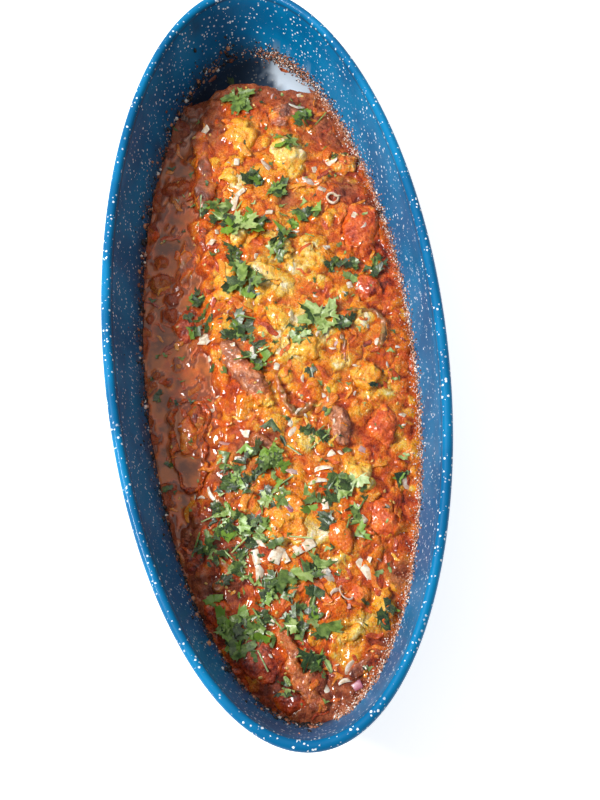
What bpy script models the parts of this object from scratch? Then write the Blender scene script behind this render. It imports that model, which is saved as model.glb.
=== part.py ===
"""A long oval enamelled pan of shakshuka: tomato stew with a pool of juice, eggs, vegetables and sausage.

Metres, +Z up. +Y runs along the pan's length. The origin is the middle of the flat base, at table level.
"""

import math

import bmesh
import bpy
import numpy as np
from mathutils import Vector, noise

# Pan: every ring of it is an ellipse, drawn in from the rim's outer edge by the same inset all round
PAN_LENGTH = 0.420
PAN_WIDTH = 0.1744
PAN_HEIGHT = 0.068
SHEET = 0.0016
BEAD_RADIUS = 0.00275
CORNER_RADIUS = 0.018
WALL_DRAFT = math.radians(9.8)
FILL_HEIGHT = 0.021
FILL_INSET = 0.0132
SEGMENTS = 44

# Food
GAP = 0.0003
FACET_CLEARANCE = 0.0006
CHUNK_GROW = 1.8
HEAP_RISE = 0.0062
LUMP_HEIGHT = 0.0009
LUMP_SPACING = 0.022
JUICE_LEVEL = 0.0193
NARROWEST_POOL = 0.0016
POOL_END_SHARE = 0.7
TOP_RINGS = (0.97, 0.84, 0.62, 0.34)
BEAD_STEPS = 6

# The stew's edge against the juice, as (distance along the pan, distance across it), far end first
SHORE = (
    (0.190, -0.0300),
    (0.180, -0.0235),
    (0.170, -0.0260),
    (0.150, -0.0335),
    (0.130, -0.039),
    (0.100, -0.040),
    (0.060, -0.039),
    (0.020, -0.038),
    (-0.030, -0.034),
    (-0.050, -0.036),
    (-0.075, -0.050),
    (-0.098, -0.0615),
    (-0.110, -0.072),
)

COLOURS = {
    "enamel": (0.010, 0.105, 0.285),
    "stew": (0.55, 0.11, 0.025),
    "juice": (0.33, 0.075, 0.035),
    "egg": (0.85, 0.50, 0.10),
    "tomato": (0.60, 0.07, 0.02),
    "pepper": (0.42, 0.16, 0.04),
    "sausage": (0.30, 0.10, 0.07),
    "onion": (0.80, 0.68, 0.52),
}
ROUGHNESS = {"enamel": 0.15, "stew": 0.30, "juice": 0.06, "onion": 0.35}


def fresh_scene():
    for obj in list(bpy.data.objects):
        bpy.data.objects.remove(obj)


def new_collection(name):
    collection = bpy.data.collections.new(name)
    bpy.context.scene.collection.children.link(collection)
    return collection


def material(name):
    found = bpy.data.materials.get(name)
    if found:
        return found
    made = bpy.data.materials.new(name)
    made.use_nodes = True
    shader = made.node_tree.nodes["Principled BSDF"]
    shader.inputs["Base Color"].default_value = (*COLOURS[name], 1.0)
    shader.inputs["Roughness"].default_value = ROUGHNESS.get(name, 0.25)
    shader.inputs["Metallic"].default_value = 0.0
    return made


def place(mesh, name, finish, collection):
    """Adds the mesh as an object of that name, smooth-shaded, in its material."""
    mesh.materials.clear()
    mesh.materials.append(material(finish))
    mesh.shade_smooth()
    obj = bpy.data.objects.new(name, mesh)
    collection.objects.link(obj)
    return obj


# ---- the pan's ellipses ----


def half_sizes(inset):
    """The ellipse's half width and half length at this inset."""
    return PAN_WIDTH / 2 - inset, PAN_LENGTH / 2 - inset


def wall_inset(z):
    """How far in the inner wall is at height z."""
    start = SHEET + CORNER_RADIUS * (1 - math.sin(WALL_DRAFT))
    at_start = FILL_INSET + (FILL_HEIGHT - start) * math.tan(WALL_DRAFT)
    if z >= start:
        return FILL_INSET + (FILL_HEIGHT - z) * math.tan(WALL_DRAFT)
    centre = at_start + CORNER_RADIUS * math.cos(WALL_DRAFT)
    drop = SHEET + CORNER_RADIUS - z
    return centre - math.sqrt(max(CORNER_RADIUS**2 - drop**2, 0.0))


def food_inset(z):
    """The same, a little clear of the wall's flat facets."""
    return wall_inset(max(z - FACET_CLEARANCE, SHEET)) + GAP


def pan_section():
    """(inset, z) of the pan's sheet: up the inside, over the rolled bead and down the outside."""
    centre = wall_inset(SHEET)
    inner = [(centre, SHEET)]
    outer = [(centre, 0.0)]
    for step in range(1, 5):
        turn = (math.pi / 2 - WALL_DRAFT) * step / 4
        for rows, radius in ((inner, CORNER_RADIUS), (outer, CORNER_RADIUS + SHEET)):
            across = centre - radius * math.sin(turn)
            up = SHEET + CORNER_RADIUS - radius * math.cos(turn)
            rows.append((across, up))
    bead_z = PAN_HEIGHT - BEAD_RADIUS
    inner.append((wall_inset(bead_z), bead_z - BEAD_RADIUS * 0.3))
    bead = []
    for step in range(BEAD_STEPS + 1):
        turn = math.radians(-5 + 280 * step / BEAD_STEPS)
        bead.append((BEAD_RADIUS * (1 + math.cos(turn)), bead_z + BEAD_RADIUS * math.sin(turn)))
    under = bead_z - BEAD_RADIUS * 1.15
    outer.append((wall_inset(under) - SHEET, under))
    return inner + bead + list(reversed(outer))


def loft(rings, poles=True):
    """A closed mesh through rings of equal length, with a point at each end."""
    build = bmesh.new()
    rows = [[build.verts.new(point) for point in ring] for ring in rings]
    count = len(rows[0])
    for low, high in zip(rows, rows[1:]):
        for i in range(count):
            j = (i + 1) % count
            build.faces.new((low[i], low[j], high[j], high[i]))
    for row in (rows[0], rows[-1]):
        if poles:
            middle = build.verts.new(sum((v.co for v in row), Vector()) / count)
            for i in range(count):
                build.faces.new((row[i], row[(i + 1) % count], middle))
        else:
            build.faces.new(row)
    bmesh.ops.triangulate(build, faces=build.faces)
    bmesh.ops.recalc_face_normals(build, faces=build.faces)
    mesh = bpy.data.meshes.new("loft")
    build.to_mesh(mesh)
    build.free()
    return mesh


def pan_mesh():
    rings = []
    for inset, z in pan_section():
        half_width, half_length = half_sizes(inset)
        ring = []
        for i in range(SEGMENTS):
            angle = 2 * math.pi * i / SEGMENTS
            ring.append((half_width * math.cos(angle), half_length * math.sin(angle), z))
        rings.append(ring)
    return loft(rings)


# ---- the stew and the juice ----


def shore_x(y):
    """Where the stew stops and the juice starts, at this distance along the pan."""
    along = [point[0] for point in reversed(SHORE)]
    across = [point[1] for point in reversed(SHORE)]
    return float(np.interp(y, along, across))


def heap_z(x, y):
    """Height of the stew's top."""
    half_width, half_length = half_sizes(FILL_INSET)
    away = min((x / half_width) ** 2 + (y / half_length) ** 2, 1.0)
    lump = noise.noise(Vector((x, y, 0.0)) / LUMP_SPACING) * LUMP_HEIGHT
    return FILL_HEIGHT + HEAP_RISE * (1 - away) + lump * (1 - away**4)


def wall_x(y, z):
    """Half width of the space inside the pan at this distance along it and this height."""
    half_width, half_length = half_sizes(food_inset(z))
    return half_width * math.sqrt(max(1 - (y / half_length) ** 2, 0.0))


def ellipse_point(angle, inset):
    half_width, half_length = half_sizes(inset)
    return half_width * math.cos(angle), half_length * math.sin(angle)


def stew_edge(angle, z):
    """Where the stew ends in this direction: at the wall, or at the shore, straight down to the corner."""
    x, y = ellipse_point(angle, food_inset(FILL_HEIGHT))
    x = max(x, shore_x(y))
    half_width, half_length = half_sizes(food_inset(z))
    inside = min(1 / math.hypot(x / half_width, y / half_length), 1.0)
    return x * inside, y * inside


def stew_mesh():
    angles = [2 * math.pi * i / SEGMENTS for i in range(SEGMENTS)]
    rings = []
    for above_floor, share in ((0.0, 0.55), (0.0, 1.0), (0.0030, 1.0), (0.0090, 1.0)):
        z = SHEET + GAP + above_floor
        edge = [stew_edge(angle, z) for angle in angles]
        rings.append([(x * share, y * share, z) for x, y in edge])
    edge = [stew_edge(angle, FILL_HEIGHT) for angle in angles]
    rings.append([(x, y, FILL_HEIGHT - GAP) for x, y in edge])
    for share in TOP_RINGS:
        rings.append([(x * share, y * share, heap_z(x * share, y * share)) for x, y in edge])
    return loft(rings)


def juice_floor(y, shore):
    """The height at which the wall's lower corner comes in as far as the shore, or the pan's floor."""
    low, high = SHEET + GAP, JUICE_LEVEL
    if -wall_x(y, low) < shore:
        return low
    for _ in range(24):
        middle = (low + high) / 2
        if -wall_x(y, middle) < shore:
            high = middle
        else:
            low = middle
    return high


def juice_mesh():
    """The pool between the wall and the shore, as cross-sections along the pan."""
    turns = [math.pi / 2 + 2 * math.pi * i / SEGMENTS for i in range(SEGMENTS // 2 + 1)]
    edge_x, edge_y = zip(*(stew_edge(turn, FILL_HEIGHT) for turn in reversed(turns)))
    widths = [x + wall_x(y, JUICE_LEVEL) for x, y in zip(edge_x, edge_y)]
    wide = [i for i, width in enumerate(widths) if width > NARROWEST_POOL + GAP]
    first, last = wide[0], wide[-1]
    near_end = edge_y[first] + (edge_y[first - 1] - edge_y[first]) * POOL_END_SHARE
    far_end = edge_y[last] + (edge_y[last + 1] - edge_y[last]) * POOL_END_SHARE
    rings = []
    for y in (near_end, *edge_y[first : last + 1], far_end):
        shore = float(np.interp(y, edge_y, edge_x)) - GAP
        bottom = juice_floor(y, shore - NARROWEST_POOL / 2)
        ring = [(shore, y, bottom), (shore, y, JUICE_LEVEL)]
        for share in (1.0, 0.6, 0.3, 0.12, 0.0):
            z = bottom + (JUICE_LEVEL - bottom) * share
            ring.append((-wall_x(y, z), y, z))
        rings.append(ring)
    return loft(rings, poles=False)


# ---- pieces ----


def smooth_route(points, steps, cyclic):
    """Points on a smooth curve through these."""
    count = len(points)
    spans = count if cyclic else count - 1
    found = []
    for span in range(spans):
        if cyclic:
            p = [Vector(points[(span + k) % count]) for k in (-1, 0, 1, 2)]
        else:
            p = [Vector(points[min(max(span + k, 0), count - 1)]) for k in (-1, 0, 1, 2)]
        for step in range(steps):
            t = step / steps
            slope_a = (p[2] - p[0]) / 2
            slope_b = (p[3] - p[1]) / 2
            point = p[1] * (2 * t**3 - 3 * t**2 + 1) + slope_a * (t**3 - 2 * t**2 + t)
            point += p[2] * (3 * t**2 - 2 * t**3) + slope_b * (t**3 - t**2)
            found.append(point)
    if not cyclic:
        found.append(Vector(points[-1]))
    return found


def strip_mesh(route, radius, height, lift, cyclic, grow):
    """A soft strip along a route that follows the food's surface. height is its half thickness."""
    steps = 1 if len(route) > 5 else 2
    points = smooth_route([(x, y, 0.0) for x, y in route], steps, cyclic)
    curve = bpy.data.curves.new("route", "CURVE")
    curve.dimensions = "3D"
    curve.bevel_depth = radius + grow
    curve.bevel_resolution = 1
    curve.use_fill_caps = not cyclic
    spline = curve.splines.new("POLY")
    spline.points.add(len(points) - 1)
    spline.use_cyclic_u = cyclic
    for i, point in enumerate(points):
        spline.points[i].co = (*point, 1.0)
        from_end = min(i, len(points) - 1 - i)
        spline.points[i].radius = 1.0 if cyclic else (0.55, 0.88, 1.0)[min(from_end, 2)]
    holder = bpy.data.objects.new("route", curve)
    bpy.context.scene.collection.objects.link(holder)
    graph = bpy.context.evaluated_depsgraph_get()
    mesh = bpy.data.meshes.new_from_object(holder.evaluated_get(graph))
    bpy.data.objects.remove(holder)
    build = bmesh.new()
    build.from_mesh(mesh)
    bmesh.ops.remove_doubles(build, verts=build.verts, dist=0.00001)
    squeeze = (height + grow) / (radius + grow)
    for vert in build.verts:
        nearest = min(points, key=lambda p: (p.xy - vert.co.xy).length)
        vert.co.z = vert.co.z * squeeze + surface_z(nearest.x, nearest.y) + lift
    bmesh.ops.triangulate(build, faces=build.faces)
    bmesh.ops.recalc_face_normals(build, faces=build.faces)
    build.to_mesh(mesh)
    build.free()
    return mesh


def surface_z(x, y):
    """The top of the food: the stew's, or the juice's on its side of the shore."""
    blend = min(max((x - shore_x(y)) / 0.010 + 0.5, 0.0), 1.0)
    return JUICE_LEVEL * (1 - blend) + heap_z(x, y) * blend


def chunk_mesh(at, half, turn, lift, uneven, seed, grow):
    """A rounded, uneven chunk: a sphere pushed in and out, half buried in the surface."""
    build = bmesh.new()
    bmesh.ops.create_uvsphere(build, u_segments=8, v_segments=5, radius=1.0)
    shift = Vector((seed * 3.7, seed * 1.3, seed * 2.1))
    base_z = surface_z(*at) + lift
    for vert in build.verts:
        spot = vert.co * (1 + uneven * noise.noise(vert.co * 1.6 + shift))
        across = spot.x * half[0]
        along = spot.y * half[1]
        x = at[0] + across * math.cos(turn) - along * math.sin(turn)
        y = at[1] + across * math.sin(turn) + along * math.cos(turn)
        vert.co = (x, y, base_z + spot.z * half[2])
    bmesh.ops.triangulate(build, faces=build.faces)
    build.normal_update()
    for vert in build.verts:
        vert.co += vert.normal * grow
    mesh = bpy.data.meshes.new("chunk")
    build.to_mesh(mesh)
    build.free()
    return mesh


def strip(route, radius, height, lift=0.0006, cyclic=False):
    return lambda grow: strip_mesh(route, radius, height, lift, cyclic, grow)


def chunk(at, half, turn=0, lift=0.0, uneven=0.35, seed=1):
    """turn in degrees, anticlockwise from above; half is the half size across, along and up."""
    return lambda grow: chunk_mesh(at, half, math.radians(turn), lift, uneven, seed, grow * CHUNK_GROW)


SAUSAGES = {
    "sausage_long": strip(
        ((-0.028, 0.006), (-0.021, -0.008), (-0.013, -0.022), (-0.007, -0.033)), 0.0072, 0.0062, 0.0012
    ),
    "sausage_short": strip(((0.026, -0.038), (0.029, -0.048), (0.031, -0.060)), 0.0065, 0.0055, 0.0012),
    "sausage_piece": strip(((-0.017, -0.050), (-0.010, -0.058), (-0.005, -0.069)), 0.0052, 0.0046, 0.0010),
    "meat_far": chunk((0.019, 0.150), (0.0115, 0.0095, 0.0050), 20, 0.0004, seed=2),
}
EGGS = {
    "egg_yolk_far": chunk((-0.008, 0.140), (0.0078, 0.0125, 0.0045), 10, 0.0010, seed=3),
    "egg_curd_far": chunk((0.018, 0.121), (0.0085, 0.0150, 0.0050), 20, 0.0010, seed=4),
    "egg_curd_left": chunk((-0.0175, 0.112), (0.0055, 0.0065, 0.0035), 0, 0.0008, seed=5),
    "egg_dome_left": chunk((-0.0155, 0.072), (0.0062, 0.0075, 0.0042), 0, 0.0008, seed=6),
    "egg_curd_leaf": chunk((-0.0245, 0.044), (0.0060, 0.0125, 0.0036), -5, 0.0004, seed=7),
    "egg_white_long": chunk((-0.003, 0.045), (0.0058, 0.0155, 0.0036), 48, 0.0008, seed=8),
    "egg_curd_middle": chunk((0.010, 0.0585), (0.0062, 0.0060, 0.0036), 0, 0.0006, seed=9),
    "egg_curd_right": chunk((0.0255, 0.053), (0.0060, 0.0125, 0.0036), 10, 0.0004, seed=10),
    "egg_curd_centre": chunk((0.004, 0.019), (0.0085, 0.0080, 0.0040), 0, 0.0006, seed=11),
    "egg_field": chunk((0.015, 0.000), (0.0135, 0.0085, 0.0044), 15, 0.0006, seed=12),
    "egg_chunk_right": chunk((0.047, -0.0235), (0.0075, 0.0095, 0.0045), -20, 0.0010, seed=13),
    "egg_curd_bubbly": chunk((0.035, -0.077), (0.0078, 0.0082, 0.0044), 0, 0.0014, seed=14),
    "egg_grains": chunk((-0.004, -0.094), (0.0150, 0.0120, 0.0042), -20, 0.0002, seed=15),
    "egg_curd_near": chunk((0.0390, -0.1435), (0.0058, 0.0080, 0.0036), 15, 0.0004, seed=16),
    "egg_crumbs_near": chunk((0.023, -0.1560), (0.0080, 0.0050, 0.0030), 20, 0.0004, seed=17),
}
TOMATOES = {
    "tomato_pool": chunk((-0.050, 0.021), (0.0066, 0.0115, 0.0035), 0, -0.0004, seed=18),
    "tomato_loop": chunk((-0.0525, -0.0425), (0.0048, 0.0120, 0.0030), 0, -0.0006, uneven=0.2, seed=19),
    "tomato_seeded": chunk((0.051, 0.113), (0.0105, 0.0078, 0.0045), -15, 0.0008, seed=20),
    "tomato_dome": chunk((0.0545, 0.069), (0.0125, 0.0160, 0.0052), 0, 0.0006, seed=21),
    "tomato_far_right": chunk((0.0555, 0.030), (0.0095, 0.0090, 0.0040), 0, 0.0004, seed=22),
    "tomato_right": chunk((0.052, -0.051), (0.0080, 0.0120, 0.0040), 0, 0.0002, seed=23),
    "tomato_near_right": chunk((0.046, -0.101), (0.0085, 0.0110, 0.0040), 10, 0.0002, seed=24),
    "tomato_chunk": chunk((0.0225, -0.108), (0.0070, 0.0095, 0.0046), 12, 0.0010, seed=25),
    "tomato_peeled": chunk((0.025, -0.1385), (0.0072, 0.0060, 0.0036), 0, 0.0004, seed=26),
    "tomato_flat": chunk((-0.025, -0.165), (0.0105, 0.0130, 0.0036), 15, 0.0004, uneven=0.25, seed=27),
    "tomato_last": chunk((-0.012, -0.1855), (0.0085, 0.0048, 0.0030), -15, -0.0002, seed=28),
    "tomato_near_left": chunk((-0.043, -0.139), (0.0085, 0.0070, 0.0034), -20, 0.0002, seed=29),
    "tomato_left": chunk((-0.046, -0.100), (0.0052, 0.0046, 0.0032), 0, 0.0002, seed=30),
}
PEPPERS = {
    "pepper_long": strip(
        ((-0.0315, 0.146), (-0.0310, 0.130), (-0.0315, 0.110), (-0.0340, 0.090)), 0.0062, 0.0030, 0.0006
    ),
    "pepper_curled": strip(((-0.0360, 0.080), (-0.0345, 0.072), (-0.0355, 0.064)), 0.0024, 0.0022, 0.0008),
    "pepper_olive": strip(((-0.0455, 0.078), (-0.0480, 0.062), (-0.0480, 0.044)), 0.0046, 0.0024, -0.0004),
    "pepper_loop": strip(
        (
            (-0.0505, -0.0205),
            (-0.0600, -0.0260),
            (-0.0620, -0.0380),
            (-0.0600, -0.0490),
            (-0.0620, -0.0580),
            (-0.0580, -0.0680),
            (-0.0525, -0.0740),
            (-0.0465, -0.0680),
            (-0.0430, -0.0590),
            (-0.0450, -0.0490),
            (-0.0415, -0.0360),
            (-0.0430, -0.0250),
        ),
        0.0017,
        0.0030,
        0.0002,
        cyclic=True,
    ),
    "pepper_hook": strip(
        (
            (0.0000, -0.0165),
            (-0.0005, -0.0250),
            (0.0020, -0.0350),
            (0.0090, -0.0390),
            (0.0160, -0.0350),
        ),
        0.0017,
        0.0030,
        0.0010,
    ),
    "pepper_arch": strip(
        ((0.0390, 0.0145), (0.0480, 0.0170), (0.0580, 0.0120), (0.0600, 0.0030), (0.0555, -0.0050)),
        0.0019,
        0.0028,
        0.0010,
    ),
    "pepper_arc": strip(((0.0370, 0.0060), (0.0350, -0.0030), (0.0385, -0.0130)), 0.0018, 0.0028, 0.0008),
    "pepper_left": strip(((-0.0385, -0.110), (-0.0380, -0.120), (-0.0410, -0.1285)), 0.0032, 0.0026, 0.0006),
    "pepper_near": strip(
        ((-0.0130, -0.146), (-0.0095, -0.160), (-0.0060, -0.173), (-0.0005, -0.185), (0.0050, -0.1905)),
        0.0036,
        0.0030,
        0.0022,
    ),
    "pepper_near_right": strip(((0.0285, -0.166), (0.0245, -0.173), (0.019, -0.1785)), 0.0030, 0.0026, 0.0010),
}
ONIONS = {
    "onion_slice_far": strip(((-0.0175, 0.0915), (-0.0165, 0.097), (-0.011, 0.1005)), 0.0032, 0.0020, 0.0022),
    "onion_long": strip(((0.0270, -0.1185), (0.0320, -0.1235), (0.0365, -0.1300)), 0.0030, 0.0016, 0.0022),
    "onion_cream": chunk((0.0120, -0.1245), (0.0056, 0.0060, 0.0024), 30, 0.0024, uneven=0.2, seed=31),
    "onion_pair_a": chunk((-0.0105, -0.1120), (0.0050, 0.0040, 0.0022), 20, 0.0012, uneven=0.2, seed=32),
    "onion_pair_b": chunk((0.0036, -0.1112), (0.0048, 0.0036, 0.0022), 25, 0.0022, uneven=0.2, seed=33),
    "onion_pool": chunk((-0.0405, 0.0115), (0.0042, 0.0050, 0.0024), 15, 0.0010, uneven=0.2, seed=34),
    "onion_pale": strip(((-0.0215, -0.1130), (-0.0210, -0.1180), (-0.0205, -0.1235)), 0.0026, 0.0020, 0.0016),
    "onion_ring_far": strip(
        ((0.0445, 0.0890), (0.0405, 0.0925), (0.0375, 0.0890), (0.0410, 0.0855)),
        0.0008,
        0.0011,
        0.0022,
        cyclic=True,
    ),
}


def sink(body, name, shape, cutters):
    """Cuts the body round a piece, leaving the gap that touching faces keep."""
    cutter = place(shape(GAP), "cutter_" + name, "stew", cutters)
    cutter.hide_render = True
    cutter.display_type = "WIRE"
    cut = body.modifiers.new("round_" + name, "BOOLEAN")
    cut.operation = "DIFFERENCE"
    cut.object = cutter


def touches(body, obj):
    """Whether the boxes round two objects meet."""
    boxes = []
    for each in (body, obj):
        points = np.array([v.co for v in each.data.vertices])
        boxes.append((points.min(axis=0) - GAP * 2, points.max(axis=0) + GAP * 2))
    return bool((boxes[0][0] < boxes[1][1]).all() and (boxes[1][0] < boxes[0][1]).all())


def build():
    fresh_scene()
    parts = new_collection("shakshuka_pan")
    cutters = new_collection("cutters")
    place(pan_mesh(), "pan", "enamel", parts)
    stew = place(stew_mesh(), "stew", "stew", parts)
    juice = place(juice_mesh(), "juice", "juice", parts)
    groups = (
        (SAUSAGES, "sausage"),
        (EGGS, "egg"),
        (TOMATOES, "tomato"),
        (PEPPERS, "pepper"),
        (ONIONS, "onion"),
    )
    for pieces, finish in groups:
        for name, shape in pieces.items():
            piece = place(shape(0.0), name, finish, parts)
            for body in (stew, juice):
                if touches(body, piece):
                    sink(body, name, shape, cutters)


build()
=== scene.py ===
import math
import random

import bmesh
import bpy
import numpy as np
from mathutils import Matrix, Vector
from mathutils.bvhtree import BVHTree
from mathutils.kdtree import KDTree


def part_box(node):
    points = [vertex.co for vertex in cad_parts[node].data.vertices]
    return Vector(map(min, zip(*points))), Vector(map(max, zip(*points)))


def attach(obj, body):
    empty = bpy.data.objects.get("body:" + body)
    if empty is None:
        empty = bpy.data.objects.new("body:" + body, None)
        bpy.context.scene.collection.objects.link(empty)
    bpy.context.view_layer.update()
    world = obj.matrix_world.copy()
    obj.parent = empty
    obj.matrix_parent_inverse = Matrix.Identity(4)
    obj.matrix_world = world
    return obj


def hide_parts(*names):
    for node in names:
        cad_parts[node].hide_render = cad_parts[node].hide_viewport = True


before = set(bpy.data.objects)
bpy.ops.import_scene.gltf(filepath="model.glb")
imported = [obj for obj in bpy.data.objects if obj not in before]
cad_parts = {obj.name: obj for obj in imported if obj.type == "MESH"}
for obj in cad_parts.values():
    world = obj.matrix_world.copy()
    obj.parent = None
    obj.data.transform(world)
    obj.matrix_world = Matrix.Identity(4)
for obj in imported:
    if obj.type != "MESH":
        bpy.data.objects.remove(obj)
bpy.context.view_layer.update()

# ---- sizes, in metres ----

# The pan: each ring is an ellipse drawn in by the same inset all round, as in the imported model
PAN_LENGTH = 0.420
PAN_WIDTH = 0.1744
PAN_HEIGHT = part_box("pan")[1].z
SHEET = 0.0016
BEAD_RADIUS = 0.00275
CORNER_RADIUS = 0.018
WALL_DRAFT = math.radians(9.8)
FILL_HEIGHT = 0.021
FILL_INSET = 0.0132
PAN_SIDES = 240

# The food
HEAP_RISE = 0.0062
JUICE_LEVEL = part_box("juice")[1].z
WALL_BITE = 0.0003
# Where the stew ends at the pool, as (distance along, distance across)
SHORE = (
    (0.19, -0.03), (0.18, -0.0235), (0.17, -0.026), (0.15, -0.0335), (0.13, -0.039), (0.1, -0.04),
    (0.06, -0.039), (0.02, -0.038), (-0.03, -0.034), (-0.05, -0.036), (-0.075, -0.05), (-0.098, -0.0615),
    (-0.11, -0.072),
)
# The food's far edge, where it stops short of the wall, as (distance across, distance along)
FAR_EDGE = (
    (-0.045, 0.164), (-0.031, 0.169), (-0.021, 0.1745), (-0.012, 0.178), (-0.002, 0.1795), (0.008, 0.175),
    (0.018, 0.1715), (0.03, 0.169), (0.041, 0.1665), (0.06, 0.164),
)

# Where the food is rich in egg, redder, or browner: (x, y, reach)
EGG_SPOTS = (
    (-0.005, 0.141, 0.0085), (0.021, 0.131, 0.0085), (0.02, 0.114, 0.0085), (-0.011, 0.111, 0.006),
    (-0.016, 0.102, 0.0042), (-0.014, 0.07, 0.006), (-0.026, 0.048, 0.007), (-0.004, 0.051, 0.01),
    (0.003, 0.038, 0.01), (0.018, 0.05, 0.009), (0.027, 0.054, 0.007), (0.009, 0.015, 0.011),
    (-0.009, 0.03, 0.008), (0.013, 0.0, 0.013), (0.027, 0.004, 0.008), (-0.005, -0.027, 0.0064),
    (0.045, -0.028, 0.008), (0.036, -0.012, 0.006), (0.034, -0.075, 0.0069), (-0.003, -0.099, 0.0125),
    (-0.015, -0.09, 0.007), (0.007, -0.105, 0.008), (0.021, -0.12, 0.0053), (0.04, -0.143, 0.006),
    (0.032, -0.151, 0.007), (0.021, -0.157, 0.0085), (0.018, -0.166, 0.006), (0.01, -0.054, 0.009),
    (-0.021, -0.073, 0.005), (0.048, 0.012, 0.006), (0.058, -0.06, 0.006), (0.056, -0.03, 0.006),
)
RED_SPOTS = (
    (0.058, 0.075, 0.013), (0.06, 0.056, 0.0095), (0.058, 0.028, 0.0105), (0.055, 0.119, 0.008),
    (0.04, 0.091, 0.007), (-0.049, 0.023, 0.009), (0.047, -0.056, 0.009), (0.047, -0.097, 0.01),
    (-0.039, -0.136, 0.01), (-0.024, -0.169, 0.013), (-0.011, -0.182, 0.009), (-0.044, -0.102, 0.008),
    (-0.048, -0.122, 0.009), (-0.034, -0.129, 0.008), (-0.003, -0.152, 0.008), (0.032, -0.17, 0.007),
    (-0.027, -0.016, 0.008), (-0.042, -0.002, 0.008), (0.05, -0.113, 0.008), (0.033, -0.035, 0.005),
    (-0.032, -0.15, 0.009), (0.004, -0.17, 0.008),
)
BROWN_SPOTS = (
    (0.02, 0.154, 0.011), (0.043, 0.145, 0.014), (0.052, 0.132, 0.009), (0.036, 0.163, 0.01),
    (0.049, 0.096, 0.007), (0.066, 0.081, 0.006), (-0.023, 0.004, 0.0053), (0.014, 0.091, 0.006),
    (-0.02, -0.056, 0.008), (0.029, -0.051, 0.0064), (-0.053, -0.127, 0.009), (0.008, -0.188, 0.011),
    (-0.007, -0.192, 0.009), (0.023, -0.184, 0.008), (-0.054, -0.096, 0.008), (0.052, -0.13, 0.008),
    (-0.009, -0.052, 0.0053), (-0.034, -0.066, 0.007), (0.0, 0.172, 0.011), (0.04, -0.165, 0.006),
)
# Chopped herbs: (x, y, spread, how many, length)
HERB_CLUSTERS = (
    (-0.003, 0.162, 0.005, 3, 0.017), (0.029, 0.148, 0.004, 7, 0.007), (0.021, 0.13, 0.005, 8, 0.008),
    (-0.022, 0.083, 0.005, 8, 0.009), (-0.004, 0.081, 0.006, 6, 0.016), (0.01, 0.097, 0.005, 6, 0.012),
    (0.021, 0.081, 0.008, 14, 0.009), (0.008, 0.062, 0.006, 9, 0.011), (-0.019, 0.054, 0.005, 9, 0.009),
    (-0.016, 0.04, 0.006, 12, 0.009), (0.035, 0.045, 0.004, 5, 0.009), (0.062, 0.046, 0.0035, 9, 0.007),
    (0.048, 0.042, 0.003, 4, 0.007), (0.024, 0.015, 0.003, 3, 0.019), (0.038, 0.012, 0.004, 6, 0.01),
    (0.014, 0.005, 0.004, 5, 0.008), (-0.042, 0.035, 0.003, 3, 0.01), (-0.041, 0.018, 0.005, 8, 0.009),
    (-0.021, 0.013, 0.006, 10, 0.009), (-0.009, -0.006, 0.005, 5, 0.011), (0.019, -0.017, 0.002, 2, 0.01),
    (0.016, -0.054, 0.0035, 6, 0.007), (-0.01, -0.062, 0.008, 20, 0.009), (0.027, -0.083, 0.005, 11, 0.01),
    (0.014, -0.09, 0.007, 13, 0.009), (0.033, -0.1, 0.005, 6, 0.01), (0.006, -0.122, 0.006, 8, 0.013),
    (-0.002, -0.142, 0.006, 10, 0.008), (0.002, -0.168, 0.005, 9, 0.01), (-0.012, -0.178, 0.003, 3, 0.009),
    (-0.023, -0.183, 0.003, 2, 0.007), (0.045, -0.157, 0.002, 4, 0.0065), (0.042, -0.147, 0.0035, 6, 0.007),
    (-0.029, -0.07, 0.007, 17, 0.008), (-0.008, -0.084, 0.006, 10, 0.008),
    (-0.036, -0.092, 0.009, 20, 0.009), (-0.022, -0.098, 0.006, 12, 0.008),
    (-0.03, -0.116, 0.009, 22, 0.008), (-0.012, -0.13, 0.008, 16, 0.009),
    (-0.036, -0.146, 0.008, 20, 0.009), (-0.024, -0.15, 0.007, 16, 0.009),
    (-0.038, -0.16, 0.006, 12, 0.009), (-0.006, -0.152, 0.006, 9, 0.008), (0.008, -0.15, 0.003, 3, 0.01),
    (-0.047, -0.108, 0.004, 6, 0.008), (0.057, -0.079, 0.002, 3, 0.008), (0.045, 0.118, 0.004, 6, 0.005),
    (-0.002, 0.112, 0.005, 6, 0.009), (-0.03, 0.092, 0.003, 4, 0.008), (-0.008, -0.149, 0.001, 2, 0.01),
    (-0.022, -0.16, 0.006, 4, 0.006),
)
# Places that the herbs leave bare: (x, y, reach)
KEPT_CLEAR = (
    (-0.005, -0.098, 0.007), (0.006, -0.101, 0.006), (0.002, -0.111, 0.005), (0.012, -0.125, 0.0055),
    (0.032, -0.124, 0.007), (-0.021, -0.12, 0.0056), (-0.0215, -0.112, 0.0045), (-0.01, -0.113, 0.0056),
    (-0.024, -0.166, 0.01), (-0.015, 0.097, 0.005), (-0.006, 0.14, 0.006), (0.022, 0.112, 0.007),
    (-0.004, -0.176, 0.006), (-0.008, -0.162, 0.005), (-0.011, -0.153, 0.0045), (0.001, -0.186, 0.006),
    (0.026, -0.14, 0.006), (-0.04, 0.011, 0.0045), (-0.041, -0.137, 0.006),
)
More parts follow.
